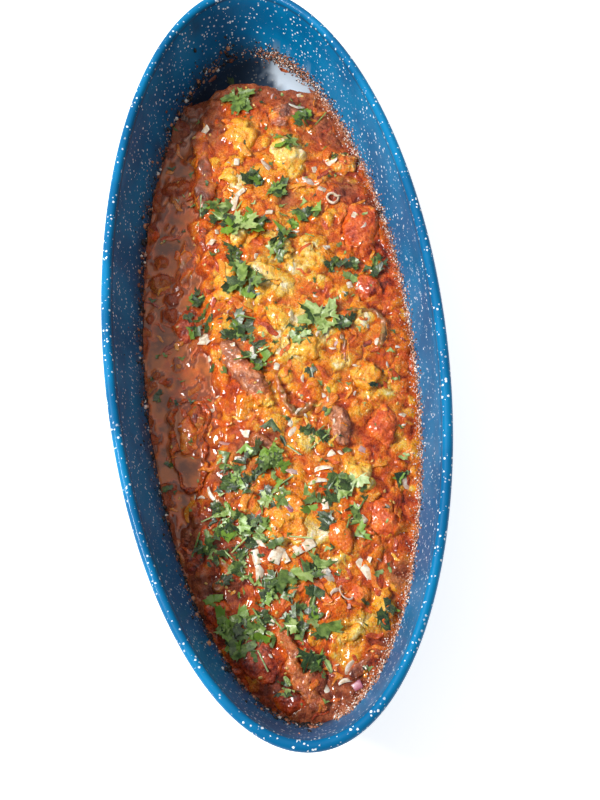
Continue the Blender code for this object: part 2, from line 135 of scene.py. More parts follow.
# Chopped onion and shallot: (x, y, turn in degrees, length, form, purple)
ONION_BITS = (
    (-0.029, 0.145, 20, 0.005, "dice", 0.0), (-0.012, 0.12, 80, 0.0045, "dice", 0.0),
    (0.006, 0.115, 130, 0.012, "arc", 0.1), (0.027, 0.153, 175, 0.0095, "strip", 0.0),
    (0.03, 0.101, 170, 0.011, "arc", 0.2), (0.052, 0.076, 60, 0.004, "dice", 0.0),
    (0.042, 0.113, 170, 0.009, "arc", 0.0), (0.044, 0.033, 100, 0.0045, "dice", 0.0),
    (0.055, -0.002, 60, 0.007, "arc", 0.0), (0.022, -0.031, 140, 0.0085, "arc", 0.1),
    (0.008, -0.038, 40, 0.006, "arc", 0.0), (0.003, -0.05, 60, 0.01, "arc", 0.1),
    (0.015, -0.071, 8, 0.013, "strip", 0.0), (0.014, -0.077, 5, 0.0095, "arc", 0.0),
    (0.002, -0.071, 165, 0.01, "arc", 0.5), (0.022, -0.064, 30, 0.0055, "dice", 0.0),
    (0.027, -0.062, 110, 0.006, "arc", 0.1), (-0.032, -0.051, 170, 0.0085, "arc", 0.6),
    (-0.022, -0.047, 160, 0.006, "dice", 0.0), (-0.042, -0.079, 120, 0.011, "strip", 0.0),
    (-0.004, -0.088, 120, 0.009, "arc", 0.3), (-0.001, -0.092, 140, 0.008, "arc", 1.0),
    (0.016, -0.09, 90, 0.006, "dice", 0.0), (-0.02, -0.105, 110, 0.011, "arc", 0.0),
    (0.019, -0.172, 50, 0.009, "arc", 0.0), (0.016, -0.178, 10, 0.007, "arc", 0.0),
    (0.021, -0.181, 20, 0.0065, "dice", 1.0), (0.007, -0.182, 110, 0.009, "arc", 0.0),
    (0.059, -0.082, 100, 0.01, "arc", 0.2), (0.03, -0.099, 80, 0.007, "dice", 0.0),
    (0.012, -0.02, 80, 0.005, "arc", 0.0), (-0.014, -0.002, 90, 0.005, "dice", 0.0),
    (-0.001, -0.011, 70, 0.0045, "dice", 0.0), (0.023, 0.004, 60, 0.005, "arc", 0.0),
    (0.036, 0.096, 150, 0.005, "dice", 0.1), (-0.006, 0.058, 60, 0.006, "arc", 0.0),
    (0.034, -0.101, 40, 0.006, "dice", 0.0), (0.033, 0.058, 100, 0.006, "arc", 0.0),
    (0.0218, -0.1362, 115, 0.01, "ring", 0.1), (0.0165, -0.1345, 20, 0.006, "arc", 0.1),
)
# Leaf bits stuck to the wall: (x, y, turn in degrees, length)
WALL_HERBS = (
    (-0.0100, 0.1895, 80, 0.0075), (-0.0130, 0.1880, 20, 0.0060), (-0.0690, -0.0165, 60, 0.0055),
    (-0.0700, -0.0085, 10, 0.0040), (-0.0525, 0.1240, 70, 0.0050), (-0.0485, 0.1500, 20, 0.0040),
    (-0.0690, 0.0400, 50, 0.0045), (-0.0660, -0.0700, 30, 0.0050),
)
# The larger onion pieces: (node, its slices as (x, y, turn in degrees, length, width against length))
LARGE_ONIONS = (
    ("onion_slice_far", ((-0.0165, 0.0945, 70, 0.0110, 0.44), (-0.0125, 0.0995, 30, 0.0080, 0.40))),
    ("onion_long", ((0.0300, -0.1215, 125, 0.0095, 0.52), (0.0345, -0.1278, 122, 0.0098, 0.50))),
    ("onion_cream", ((0.0108, -0.1228, 118, 0.0082, 0.80), (0.0150, -0.1275, 130, 0.0080, 0.55))),
    ("onion_pair_a", ((-0.0112, -0.1135, 60, 0.0090, 0.70), (-0.0070, -0.1150, 110, 0.0070, 0.45))),
    ("onion_pair_b", ((0.0010, -0.1118, 22, 0.0060, 0.85), (0.0058, -0.1100, 22, 0.0062, 0.95))),
    ("onion_pool", ((-0.0405, 0.0125, 70, 0.0080, 0.80), (-0.0380, 0.0100, 110, 0.0060, 0.60))),
    ("onion_pale", ((-0.0215, -0.1135, 100, 0.0080, 0.50), (-0.0205, -0.1210, 88, 0.0090, 0.48))),
)
# Scorched places low on the far wall: (x, y, z, reach)
SCORCHED = (
    (-0.028, 0.191, 0.060, 0.006), (-0.012, 0.195, 0.027, 0.008), (-0.030, 0.178, 0.021, 0.010),
    (-0.040, 0.166, 0.022, 0.010), (0.010, 0.195, 0.026, 0.004), (-0.020, 0.186, 0.016, 0.012),
)
# How many of each small thing are scattered about
COOKED_BITS = 400
LOOSE_HERBS = 230
HERB_STEMS = 46
LOOSE_ONIONS = 70
SEEDS_IN_TOMATO = 26
SEEDS = 150
RIGHT_GRAINS = 4600
FAR_GRAINS = 1100
LEFT_GRAINS = 1500
SHORE_GRAINS = 2400

# A search for the food's top starts at this height and goes down
ABOVE = 0.2
DOWN = Vector((0, 0, -1))


# ---- shared maths ----


def half_sizes(inset):
    """The pan ellipse's half width and half length at this inset from the rim's outer edge."""
    return PAN_WIDTH / 2 - inset, PAN_LENGTH / 2 - inset


def share_out(x, y, inset):
    """How far out a place is: 0 in the middle of the pan, and 1 on its ellipse at this inset."""
    half_width, half_length = half_sizes(inset)
    return np.sqrt((x / half_width) ** 2 + (y / half_length) ** 2)


def spot_in_oval(chance, inset):
    """A random place inside the pan's ellipse at this inset."""
    half_width, half_length = half_sizes(inset)
    turn = chance.uniform(0, 2 * math.pi)
    share = math.sqrt(chance.random())
    return half_width * share * math.cos(turn), half_length * share * math.sin(turn)


def wall_inset(z):
    """How far in the inner wall is at height z."""
    start = SHEET + CORNER_RADIUS * (1 - math.sin(WALL_DRAFT))
    at_start = FILL_INSET + (FILL_HEIGHT - start) * math.tan(WALL_DRAFT)
    if z >= start:
        return FILL_INSET + (FILL_HEIGHT - z) * math.tan(WALL_DRAFT)
    centre = at_start + CORNER_RADIUS * math.cos(WALL_DRAFT)
    drop = SHEET + CORNER_RADIUS - z
    return centre - math.sqrt(max(CORNER_RADIUS**2 - drop**2, 0.0))


def kept_inside(points):
    """The points, with any that reach into the pan's wall drawn back to its inner face."""
    room = np.array([half_sizes(wall_inset(z) + 0.0002) for z in points[:, 2]])
    out = np.maximum(np.sqrt((points[:, 0] / room[:, 0]) ** 2 + (points[:, 1] / room[:, 1]) ** 2), 1)
    return np.column_stack([points[:, 0] / out, points[:, 1] / out, points[:, 2]])


def shore_x(y):
    """Where the stew stops and the juice starts, at this distance along the pan."""
    along = [point[0] for point in reversed(SHORE)]
    across = [point[1] for point in reversed(SHORE)]
    return np.interp(y, along, across)


def heap_z(x, y):
    """The stew's top without its lumps."""
    half_width, half_length = half_sizes(FILL_INSET)
    away = np.minimum((x / half_width) ** 2 + (y / half_length) ** 2, 1.0)
    return FILL_HEIGHT + HEAP_RISE * (1 - away)


def past_far_edge(x, y):
    """0 on the food and 1 on the bare corner beyond its far edge, with a ragged slope between."""
    across, along = zip(*FAR_EDGE)
    line = np.interp(x, across, along) + wobble(flat_points(x, y), 0.005, 70) * 0.0012
    share = np.clip((y - line) / 0.0045 + 0.25, 0, 1)
    return share * share * (3 - 2 * share)


def below_pan(x, y):
    """Just under the pan's inner surface, where a food sheet is out of sight."""
    low = np.zeros(len(x))
    high = np.full(len(x), PAN_WIDTH / 2 - 0.001)
    for _ in range(22):
        middle = (low + high) / 2
        outside = (x / (PAN_WIDTH / 2 - middle)) ** 2 + (y / (PAN_LENGTH / 2 - middle)) ** 2 > 1
        high = np.where(outside, middle, high)
        low = np.where(outside, low, middle)
    from_centre = np.clip(wall_inset(SHEET) - low, 0, CORNER_RADIUS)
    return SHEET + CORNER_RADIUS - np.sqrt(CORNER_RADIUS**2 - from_centre**2) - SHEET / 2


def food_level(x, y):
    """The even level of the food: the heap's, or the juice's on its side of the shore."""
    share = np.clip((x - shore_x(y)) / 0.010 + 0.5, 0, 1)
    return JUICE_LEVEL * (1 - share) + heap_z(x, y) * share


def wobble(points, size, seed):
    """Smooth noise from -1 to 1 at each point, with bumps about this size."""
    spot = np.asarray(points, float) / size
    cell = np.floor(spot).astype(np.int64)
    part = spot - cell
    part = part * part * (3 - 2 * part)
    total = np.zeros(len(spot))
    for corner in range(8):
        step = np.array([(corner >> k) & 1 for k in range(3)])
        at = cell + step
        mixed = (at[:, 0] * 73856093) ^ (at[:, 1] * 19349663) ^ (at[:, 2] * 83492791) ^ (seed * 2654435)
        mixed = (mixed ^ (mixed >> 13)) * 1274126177 & 0xFFFFFFFF
        value = ((mixed ^ (mixed >> 16)) & 0xFFFF) / 32767.5 - 1
        weight = np.prod(np.where(step == 1, part, 1 - part), axis=1)
        total += value * weight
    return total


def layered(points, size, seed, layers=3):
    """Noise with finer and weaker layers on top of each other."""
    return sum(wobble(points, size / 2**k, seed + k) / 2**k for k in range(layers))


def flat_points(x, y):
    """Points on the level z = 0."""
    return np.column_stack([x, y, np.zeros(len(x))])


def near_spots(x, y, spots, seed):
    """How strongly each place belongs to a set of spots, from 0 to 1, with ragged edges."""
    shift_x = wobble(flat_points(x, y), 0.006, seed) * 0.0025
    shift_y = wobble(flat_points(x, y), 0.006, seed + 1) * 0.0025
    found = np.zeros(len(x))
    for spot_x, spot_y, reach in spots:
        away = np.hypot(x + shift_x - spot_x, y + shift_y - spot_y) / reach
        found = np.maximum(found, 1 / (1 + away**4))
    return found


# ---- meshes ----


def deselect():
    """Leaves nothing selected."""
    bpy.ops.object.select_all(action="DESELECT")


def points_of(mesh):
    """A mesh's points, as rows of x, y and z."""
    points = np.empty(len(mesh.vertices) * 3)
    mesh.vertices.foreach_get("co", points)
    return points.reshape(-1, 3)


def set_points(mesh, points):
    """Moves a mesh's points to these places."""
    mesh.vertices.foreach_set("co", np.asarray(points, np.float32).ravel())
    mesh.update()


def normals_of(mesh):
    """The way that a mesh's surface faces at each point."""
    normals = np.empty(len(mesh.vertices) * 3)
    mesh.vertices.foreach_get("normal", normals)
    return normals.reshape(-1, 3)


def set_mask(mesh, name, values):
    """Stores one value for each point, which a material reads by name."""
    layer = mesh.attributes.get(name) or mesh.attributes.new(name, "FLOAT", "POINT")
    layer.data.foreach_set("value", np.asarray(values, np.float32))


def dress(obj, finish, slot, *nodes):
    """Gives a finished piece its material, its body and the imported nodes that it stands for."""
    obj.data.materials.clear()
    obj.data.materials.append(finish)
    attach(obj, "root")
    if nodes:
        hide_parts(*nodes)
    return obj


def apply_modifiers(obj):
    """Makes a piece's modifiers part of its mesh."""
    deselect()
    obj.select_set(True)
    bpy.context.view_layer.objects.active = obj
    for modifier in list(obj.modifiers):
        bpy.ops.object.modifier_apply(modifier=modifier.name)


def smooth_shade(obj):
    """Shades a piece's faces as one smooth surface."""
    for polygon in obj.data.polygons:
        polygon.use_smooth = True


def copy_of_node(node, name, levels):
    """A smooth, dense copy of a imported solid, to be shaped further."""
    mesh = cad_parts[node].data.copy()
    obj = bpy.data.objects.new(name, mesh)
    bpy.context.scene.collection.objects.link(obj)
    build = bmesh.new()
    build.from_mesh(mesh)
    bmesh.ops.remove_doubles(build, verts=build.verts, dist=0.00002)
    bmesh.ops.recalc_face_normals(build, faces=build.faces)
    build.to_mesh(mesh)
    build.free()
    for layer in list(mesh.uv_layers):
        mesh.uv_layers.remove(layer)
    soften = obj.modifiers.new("soften", "SUBSURF")
    soften.levels = levels
    soften.render_levels = levels
    apply_modifiers(obj)
    smooth_shade(obj)
    return obj


def ruffle(obj, amount, size, seed, where=1.0):
    """Pushes a piece's points in and out by layered noise, where the points' shares say."""
    points = points_of(obj.data)
    push = layered(points, size, seed) * amount * where
    set_points(obj.data, points + normals_of(obj.data) * push[:, None])


def joined(templates, copies):
    """The arrays of one mesh made of many copies of small templates.

    copies is a list of (template index, 3x3 turn and scale, place, masks)."""
    all_points = []
    corners = []
    counts = []
    masks = {}
    start = 0
    for index, turn, place, values in copies:
        points, faces = templates[index]
        all_points.append(points @ np.asarray(turn).T + np.asarray(place))
        for face in faces:
            corners.extend(start + v for v in face)
            counts.append(len(face))
        for key, value in values.items():
            masks.setdefault(key, []).append(np.full(len(points), value))
        start += len(points)
    masks = {key: np.concatenate(values) for key, values in masks.items()}
    return np.concatenate(all_points), corners, counts, masks


def raise_mesh(name, points, corners, counts, masks):
    """Turns the arrays that joined() gives into an object."""
    mesh = bpy.data.meshes.new(name)
    mesh.vertices.add(len(points))
    mesh.vertices.foreach_set("co", points.astype(np.float32).ravel())
    mesh.loops.add(len(corners))
    mesh.loops.foreach_set("vertex_index", np.array(corners, np.int32))
    mesh.polygons.add(len(counts))
    starts = np.concatenate([[0], np.cumsum(counts)[:-1]]).astype(np.int32)
    mesh.polygons.foreach_set("loop_start", starts)
    mesh.update(calc_edges=True)
    mesh.validate()
    for key, values in masks.items():
        set_mask(mesh, key, values)
    obj = bpy.data.objects.new(name, mesh)
    bpy.context.scene.collection.objects.link(obj)
    smooth_shade(obj)
    return obj


def crisp_edges(obj, degrees):
    """Smooth faces that meet in a sharp edge where they turn by more than this."""
    deselect()
    obj.select_set(True)
    bpy.context.view_layer.objects.active = obj
    bpy.ops.object.shade_smooth_by_angle(angle=math.radians(degrees))


def template_from(obj):
    """(points, faces) of an object, which is then removed."""
    mesh = obj.data
    points = points_of(mesh)
    faces = [tuple(p.vertices) for p in mesh.polygons]
    bpy.data.objects.remove(obj)
    return points, faces


def turned(turn, tilt=0.0, roll=0.0, size=1.0):
    """A 3x3 matrix: sized, rolled and tilted, then turned about the upright."""
    spin = np.array([[math.cos(turn), -math.sin(turn), 0], [math.sin(turn), math.cos(turn), 0], [0, 0, 1]])
    lean = np.array([[1, 0, 0], [0, math.cos(tilt), -math.sin(tilt)], [0, math.sin(tilt), math.cos(tilt)]])
    rock = np.array([[math.cos(roll), 0, math.sin(roll)], [0, 1, 0], [-math.sin(roll), 0, math.cos(roll)]])
    return spin @ lean @ rock @ np.diag(np.broadcast_to(size, 3))


def search_tree(*objects):
    """One search tree over several pieces."""
    points = []
    faces = []
    for obj in objects:
        start = len(points)
        points.extend(tuple(v.co) for v in obj.data.vertices)
        faces.extend(tuple(start + i for i in p.vertices) for p in obj.data.polygons)
    return BVHTree.FromPolygons(points, faces)


def tops_in(tree, x, y, otherwise=0.0):
    """Height of a search tree's highest surface at each place, or another value where it has none."""
    found = [tree.ray_cast(Vector((x[i], y[i], ABOVE)), DOWN)[0] for i in range(len(x))]
    return np.array([place.z if place else otherwise for place in found])


class Ground:
    """The top of the food, found by dropping onto it from above."""

    def __init__(self):
        self.trees = []

    def add(self, *objects):
        """Counts more pieces as part of the food."""
        self.trees.append(search_tree(*objects))

    def drop(self, x, y):
        """(height, normal) of the highest surface here, or None."""
        best = None
        for tree in self.trees:
            place, normal, _, _ = tree.ray_cast(Vector((x, y, ABOVE)), DOWN)
            if place and (best is None or place.z > best[0]):
                best = (place.z, normal)
        return best


# ---- materials ----


def srgb(red, green, blue):
    """A colour as a picture editor shows it, as the shader wants it."""
    values = []
    for value in (red, green, blue):
        value /= 255
        values.append(value / 12.92 if value <= 0.04045 else ((value + 0.055) / 1.055) ** 2.4)
    return (*values, 1.0)


def add_node(tree, kind, inputs=None, **settings):
    """A shader node with its settings, and its inputs set or linked by name or number."""
    node = tree.nodes.new(kind)
    for key, value in settings.items():
        setattr(node, key, value)
    for key, value in (inputs or {}).items():
        socket = node.inputs[key]
        if isinstance(value, bpy.types.NodeSocket):
            tree.links.new(value, socket)
        else:
            socket.default_value = value
    return node


def blend(tree, factor, low, high):
    """Colour low where the factor is 0 and high where it is 1."""
    node = add_node(tree, "ShaderNodeMix", {0: factor, 6: low, 7: high}, data_type="RGBA")
    return node.outputs[2]


def ramp(tree, value, low, high, to_low=0.0, to_high=1.0):
    """The value moved from one range to another, smoothly and clamped."""
    node = add_node(
        tree,
        "ShaderNodeMapRange",
        {0: value, 1: low, 2: high, 3: to_low, 4: to_high},
        interpolation_type="SMOOTHSTEP",
    )
    return node.outputs[0]


def maths(tree, operation, first, second):
    """The result of a sum on two values."""
    node = add_node(tree, "ShaderNodeMath", {0: first, 1: second}, operation=operation)
    return node.outputs[0]


def mask(tree, name):
    """A value stored on the points, by name."""
    return add_node(tree, "ShaderNodeAttribute", attribute_name=name).outputs["Fac"]


def group_inside(name, inputs, outputs):
    """A new node group with its sockets. inputs holds (name, kind, default)."""
    tree = bpy.data.node_groups.new(name, "ShaderNodeTree")
    for label, kind, default in inputs:
        socket = tree.interface.new_socket(label, in_out="INPUT", socket_type=kind)
        socket.default_value = default
    for label, kind in outputs:
        tree.interface.new_socket(label, in_out="OUTPUT", socket_type=kind)
    return tree, tree.nodes.new("NodeGroupInput").outputs, tree.nodes.new("NodeGroupOutput").inputs


def object_place(tree):
    """The shaded place, in the object's own coordinates."""
    return add_node(tree, "ShaderNodeTexCoord").outputs["Object"]


def make_sauce_group():
    """Sauce and egg cooked together: one run of colour from dark red to cream, with a wet, clotted grain,
    painted shade in its dimples and cream flecks that are partly painted glints.

    Richness says how much egg there is, from 0 to 1."""
    tree, given, result = group_inside(
        "cooked_sauce",
        [
            ("Richness", "NodeSocketFloat", 0.4),
            ("Patch", "NodeSocketFloat", 150.0),
            ("Grain", "NodeSocketFloat", 900.0),
            ("Variation", "NodeSocketFloat", 1.0),
        ],
        [("Color", "NodeSocketColor"), ("Wetness", "NodeSocketFloat"), ("Height", "NodeSocketFloat")],
    )
    place = object_place(tree)
    patches = add_node(
        tree,
        "ShaderNodeTexNoise",
        {"Vector": place, "Scale": given["Patch"], "Detail": 4.0, "Roughness": 0.55},
    )
    clots = add_node(
        tree,
        "ShaderNodeTexNoise",
        {"Vector": place, "Scale": given["Grain"], "Detail": 3.0, "Roughness": 0.6, "Distortion": 0.6},
    )
    cells = add_node(
        tree,
        "ShaderNodeTexVoronoi",
        {"Vector": place, "Scale": given["Grain"], "Randomness": 1.0},
        feature="SMOOTH_F1",
    )
    swing = maths(tree, "MULTIPLY", maths(tree, "SUBTRACT", patches.outputs[0], 0.5), 0.95)
    fine = maths(tree, "MULTIPLY", maths(tree, "SUBTRACT", clots.outputs[0], 0.5), 0.42)
    swing = maths(tree, "MULTIPLY", maths(tree, "ADD", swing, fine), given["Variation"])
    value = maths(tree, "ADD", given["Richness"], swing)
    run = tree.nodes.new("ShaderNodeValToRGB")
    tree.links.new(value, run.inputs[0])
    stops = run.color_ramp.elements
    for place_at, colour in (
        (0.10, (132, 34, 8)),
        (0.24, (202, 70, 6)),
        (0.38, (228, 100, 6)),
        (0.52, (240, 132, 10)),
        (0.66, (250, 161, 26)),
        (0.79, (248, 192, 56)),
        (0.92, (250, 220, 130)),
    ):
        stop = stops.new(place_at)
        stop.color = srgb(*colour)
    stops[0].color = srgb(82, 26, 16)
    stops[-1].color = srgb(255, 240, 200)
    # Painted shade: the low dimples between the clots are coloured a darker orange-red.
    pit_shade = ramp(tree, cells.outputs["Distance"], 0.35, 0.75)
    colour = blend(tree, maths(tree, "MULTIPLY", pit_shade, 0.3), run.outputs[0], srgb(186, 62, 6))
    # Cream flecks: partly bits of curd, partly painted glints of light on the wet sauce.
    specks = add_node(
        tree, "ShaderNodeTexNoise", {"Vector": place, "Scale": 1150.0, "Detail": 2.0, "Distortion": 1.0}
    )
    rich_share = ramp(tree, value, 0.30, 0.62, 0.05, 0.6)
    curds_and_glints = maths(tree, "MULTIPLY", ramp(tree, specks.outputs[0], 0.59, 0.66), rich_share)
    colour = blend(tree, curds_and_glints, colour, srgb(255, 222, 158))
    dimples = maths(tree, "MULTIPLY", cells.outputs["Distance"], -0.9)
    height = maths(tree, "ADD", maths(tree, "MULTIPLY", clots.outputs[0], 1.3), dimples)
    height = maths(tree, "ADD", height, patches.outputs[0])
    tree.links.new(colour, result["Color"])
    tree.links.new(ramp(tree, clots.outputs[0], 0.40, 0.60), result["Wetness"])
    tree.links.new(height, result["Height"])
    return tree


def make_pulp_group():
    """The wet, fibrous grain of skins and meat: a colour mask, a gloss mask and a height."""
    tree, given, result = group_inside(
        "cooked_pulp",
        [("Patch", "NodeSocketFloat", 130.0), ("Grain", "NodeSocketFloat", 900.0)],
        [("Patches", "NodeSocketFloat"), ("Grains", "NodeSocketFloat"), ("Height", "NodeSocketFloat")],
    )
    place = object_place(tree)
    patches = add_node(tree, "ShaderNodeTexNoise", {"Vector": place, "Scale": given["Patch"], "Detail": 5.0})
    grains = add_node(tree, "ShaderNodeTexNoise", {"Vector": place, "Scale": given["Grain"], "Detail": 4.0})
    height = maths(tree, "ADD", grains.outputs[0], patches.outputs[0])
    tree.links.new(ramp(tree, patches.outputs[0], 0.38, 0.62), result["Patches"])
    tree.links.new(ramp(tree, grains.outputs[0], 0.40, 0.62), result["Grains"])
    tree.links.new(height, result["Height"])
    return tree


def make_fleck_group():
    """Flecks of irregular size scattered over a surface, as a mask."""
    tree, given, result = group_inside(
        "enamel_flecks",
        [
            ("Spacing", "NodeSocketFloat", 600.0),
            ("Share", "NodeSocketFloat", 0.3),
            ("Size", "NodeSocketFloat", 0.3),
        ],
        [("Flecks", "NodeSocketFloat")],
    )
    place = object_place(tree)
    ragged = add_node(tree, "ShaderNodeTexNoise", {"Vector": place, "Scale": 2600.0, "Detail": 2.0})
    shift = (0.0007, 0.0007, 0.0007)
    push = add_node(
        tree, "ShaderNodeVectorMath", {0: ragged.outputs["Color"], 1: shift}, operation="MULTIPLY"
    )
    moved = add_node(tree, "ShaderNodeVectorMath", {0: place, 1: push.outputs[0]}, operation="ADD")
    cells = add_node(
        tree,
        "ShaderNodeTexVoronoi",
        {"Vector": moved.outputs[0], "Scale": given["Spacing"], "Randomness": 1.0},
    )
    parts = add_node(tree, "ShaderNodeSeparateColor", {0: cells.outputs["Color"]})
    chosen = maths(tree, "LESS_THAN", parts.outputs[0], given["Share"])
    reach = maths(tree, "MULTIPLY", given["Size"], maths(tree, "ADD", parts.outputs[1], 0.35))
    inside = maths(tree, "LESS_THAN", cells.outputs["Distance"], reach)
    tree.links.new(maths(tree, "MULTIPLY", chosen, inside), result["Flecks"])
    return tree


def use_group(tree, group, **values):
    """The outputs of a node group placed in this material, with its inputs set or linked."""
    return add_node(tree, "ShaderNodeGroup", values, node_tree=group).outputs


def new_finish(name, **settings):
    """A material with its Principled shader, whose constant sockets are set here."""
    made = bpy.data.materials.new(name)
    made.use_nodes = True
    tree = made.node_tree
    shader = tree.nodes["Principled BSDF"]
    for key, value in settings.items():
        shader.inputs[key.replace("_", " ")].default_value = value
    return made, tree, shader


def feed(tree, shader, colour, roughness, height, depth, strength):
    """Links a colour and a bump to the shader, and a roughness unless the finish keeps its own."""
    tree.links.new(colour, shader.inputs["Base Color"])
    if roughness is not None:
        tree.links.new(roughness, shader.inputs["Roughness"])
    bump = add_node(tree, "ShaderNodeBump", {"Height": height, "Distance": depth, "Strength": strength})
    tree.links.new(bump.outputs[0], shader.inputs["Normal"])


SAUCE = make_sauce_group()
PULP = make_pulp_group()
FLECKS = make_fleck_group()


def enamel_finish():
    """Blue enamel with fine white flecks, scorched where the masks say, and a pale patch of painted glare (a
    painted reflection) where its mask says.
    """
    made, tree, shader = new_finish(
        "blue_enamel", Coat_Weight=0.10, Coat_Roughness=0.05, Roughness=0.4, Specular_IOR_Level=0.12
    )
    place = object_place(tree)
    cloud = add_node(tree, "ShaderNodeTexNoise", {"Vector": place, "Scale": 26.0, "Detail": 3.0})
    colour = blend(tree, ramp(tree, cloud.outputs[0], 0.38, 0.62), srgb(0, 99, 149), srgb(2, 122, 174))
    small = use_group(tree, FLECKS, Spacing=620.0, Share=0.34, Size=0.30)
    large = use_group(tree, FLECKS, Spacing=340.0, Share=0.15, Size=0.18)
    flecks = maths(tree, "MAXIMUM", small[0], large[0])
    spread = add_node(tree, "ShaderNodeTexNoise", {"Vector": place, "Scale": 55.0, "Detail": 3.0})
    flecks = maths(tree, "MULTIPLY", flecks, ramp(tree, spread.outputs[0], 0.38, 0.50, 0.45, 1.0))
    colour = blend(tree, flecks, colour, srgb(238, 246, 250))
    colour = blend(tree, mask(tree, "scorch"), colour, srgb(50, 34, 26))
    # Painted glare: a pale patch of reflected light in the far corner, painted into the enamel's colour.
    colour = blend(tree, mask(tree, "painted_glare"), colour, srgb(214, 228, 240))
    feed(tree, shader, colour, None, maths(tree, "ADD", cloud.outputs[0], flecks), 0.00006, 0.35)
    return made


def stew_finish():
    """The stew: the run of sauce and egg, browner in places, with painted shade in its creases and hollows.
    """
    made, tree, shader = new_finish(
        "tomato_stew",
        Coat_Weight=0.6,
        Coat_Roughness=0.05,
        Specular_IOR_Level=0.20,
        Subsurface_Weight=0.12,
        Subsurface_Scale=0.0015,
        Subsurface_Radius=(1.0, 0.35, 0.12),
    )
    sauce = use_group(tree, SAUCE, Richness=mask(tree, "rich"), Patch=170.0, Grain=950.0, Variation=1.0)
    grain = use_group(tree, PULP, Patch=230.0, Grain=2400.0)
    colour = sauce["Color"]
    brown = blend(tree, grain["Patches"], srgb(116, 56, 34), srgb(180, 100, 62))
    colour = blend(tree, maths(tree, "MULTIPLY", mask(tree, "brown"), 0.85), colour, brown)
    # Painted shade: creases and hollows darkened towards a deep red.
    colour = blend(tree, maths(tree, "MULTIPLY", mask(tree, "crease_shade"), 0.75), colour, srgb(120, 34, 8))
    colour = blend(tree, maths(tree, "MULTIPLY", mask(tree, "pool"), 0.45), colour, srgb(156, 74, 42))
    rough = ramp(tree, sauce["Wetness"], 0.0, 1.0, 0.22, 0.5)
    feed(tree, shader, colour, rough, maths(tree, "ADD", sauce["Height"], grain["Height"]), 0.0009, 0.85)
    return made


def saucy_finish(name, patch, grain, variation, gloss, depth, browned=0.0):
    """Egg, tomato or pepper in the sauce, whose richness comes from the piece's own mask."""
    made, tree, shader = new_finish(
        name,
        Specular_IOR_Level=0.35,
        Coat_Weight=gloss,
        Coat_Roughness=0.08,
        Subsurface_Weight=0.2,
        Subsurface_Scale=0.002,
        Subsurface_Radius=(1.0, 0.5, 0.2),
    )
    sauce = use_group(tree, SAUCE, Richness=mask(tree, "rich"), Patch=patch, Grain=grain, Variation=variation)
    rough = ramp(tree, sauce["Wetness"], 0.0, 1.0, 0.22, 0.45)
    brown = use_group(tree, PULP, Patch=patch * 1.7, Grain=grain)
    share = maths(tree, "MULTIPLY", brown["Patches"], browned)
    colour = blend(tree, share, sauce["Color"], srgb(122, 62, 38))
    # Painted shade: the marked crease patches darkened towards a deeper orange.
    colour = blend(tree, maths(tree, "MULTIPLY", mask(tree, "crease_shade"), 0.5), colour, srgb(190, 72, 8))
    feed(tree, shader, colour, rough, sauce["Height"], depth, 0.8)
    return made


def juice_finish():
    """Thin oily juice: dull reddish brown where deep, redder where the stew lies close under it, with painted
    shade in a ring round each piece and painted highlight lines just beyond it.
    """
    made, tree, shader = new_finish(
        "oily_juice", Coat_Weight=0.5, Coat_Roughness=0.04, Specular_IOR_Level=0.25
    )
    sauce = use_group(tree, SAUCE, Patch=190.0, Grain=700.0, Variation=0.9, Richness=0.30)
    pulp = use_group(tree, PULP, Patch=90.0, Grain=500.0)
    deep = blend(tree, pulp["Patches"], srgb(118, 58, 22), srgb(188, 98, 32))
    shallow = blend(tree, 0.40, sauce["Color"], srgb(194, 100, 44))
    colour = blend(tree, mask(tree, "deep"), shallow, deep)
    colour = blend(tree, mask(tree, "far"), colour, srgb(76, 66, 54))
    drops = add_node(tree, "ShaderNodeTexVoronoi", {"Vector": object_place(tree), "Scale": 420.0})
    oil = ramp(tree, drops.outputs["Distance"], 0.16, 0.22, 0.30, 0.0)
    colour = blend(tree, oil, colour, srgb(206, 104, 44))
    # Painted shade in a thin ring right round each piece, then painted highlight lines of the meniscus a
    # little further out.
    colour = blend(tree, mask(tree, "outline_shade"), colour, srgb(82, 34, 18))
    colour = blend(tree, mask(tree, "edge"), colour, srgb(220, 156, 122))
    place = object_place(tree)
    ripple = add_node(tree, "ShaderNodeTexNoise", {"Vector": place, "Scale": 170.0, "Detail": 3.0})
    rough = ramp(tree, pulp["Patches"], 0.0, 1.0, 0.05, 0.12)
    feed(tree, shader, colour, rough, ripple.outputs[0], 0.0008, 0.4)
    return made


def soft_food_finish(name, colours, patch, grain, gloss, depth, scatter, crease_shade=None):
    """A cooked piece whose colour runs through several tones: (low, high, spots, share of spots)."""
    made, tree, shader = new_finish(
        name,
        Coat_Weight=gloss,
        Coat_Roughness=0.14,
        Subsurface_Weight=scatter,
        Subsurface_Scale=0.0025,
        Subsurface_Radius=(1.0, 0.5, 0.2),
    )
    low, high, spots, share = colours
    pulp = use_group(tree, PULP, Patch=patch, Grain=grain)
    colour = blend(tree, pulp["Patches"], srgb(*low), srgb(*high))
    other = use_group(tree, PULP, Patch=patch * 2.3, Grain=grain * 0.45)
    colour = blend(tree, maths(tree, "MULTIPLY", other["Patches"], share), colour, srgb(*spots))
    # Painted shade: where a crease colour is given, the low patches are darkened to it, and sauce colour is
    # laid over where sauced.
    if crease_shade is not None:
        colour = blend(tree, mask(tree, "low"), colour, srgb(*crease_shade))
        sauce = use_group(tree, SAUCE, Richness=mask(tree, "rich"), Patch=200.0, Grain=1100.0)
        colour = blend(tree, mask(tree, "sauced"), colour, sauce["Color"])
    rough = ramp(tree, pulp["Grains"], 0.0, 1.0, 0.24, 0.44)
    feed(tree, shader, colour, rough, maths(tree, "ADD", pulp["Height"], other["Height"]), depth, 0.7)
    return made


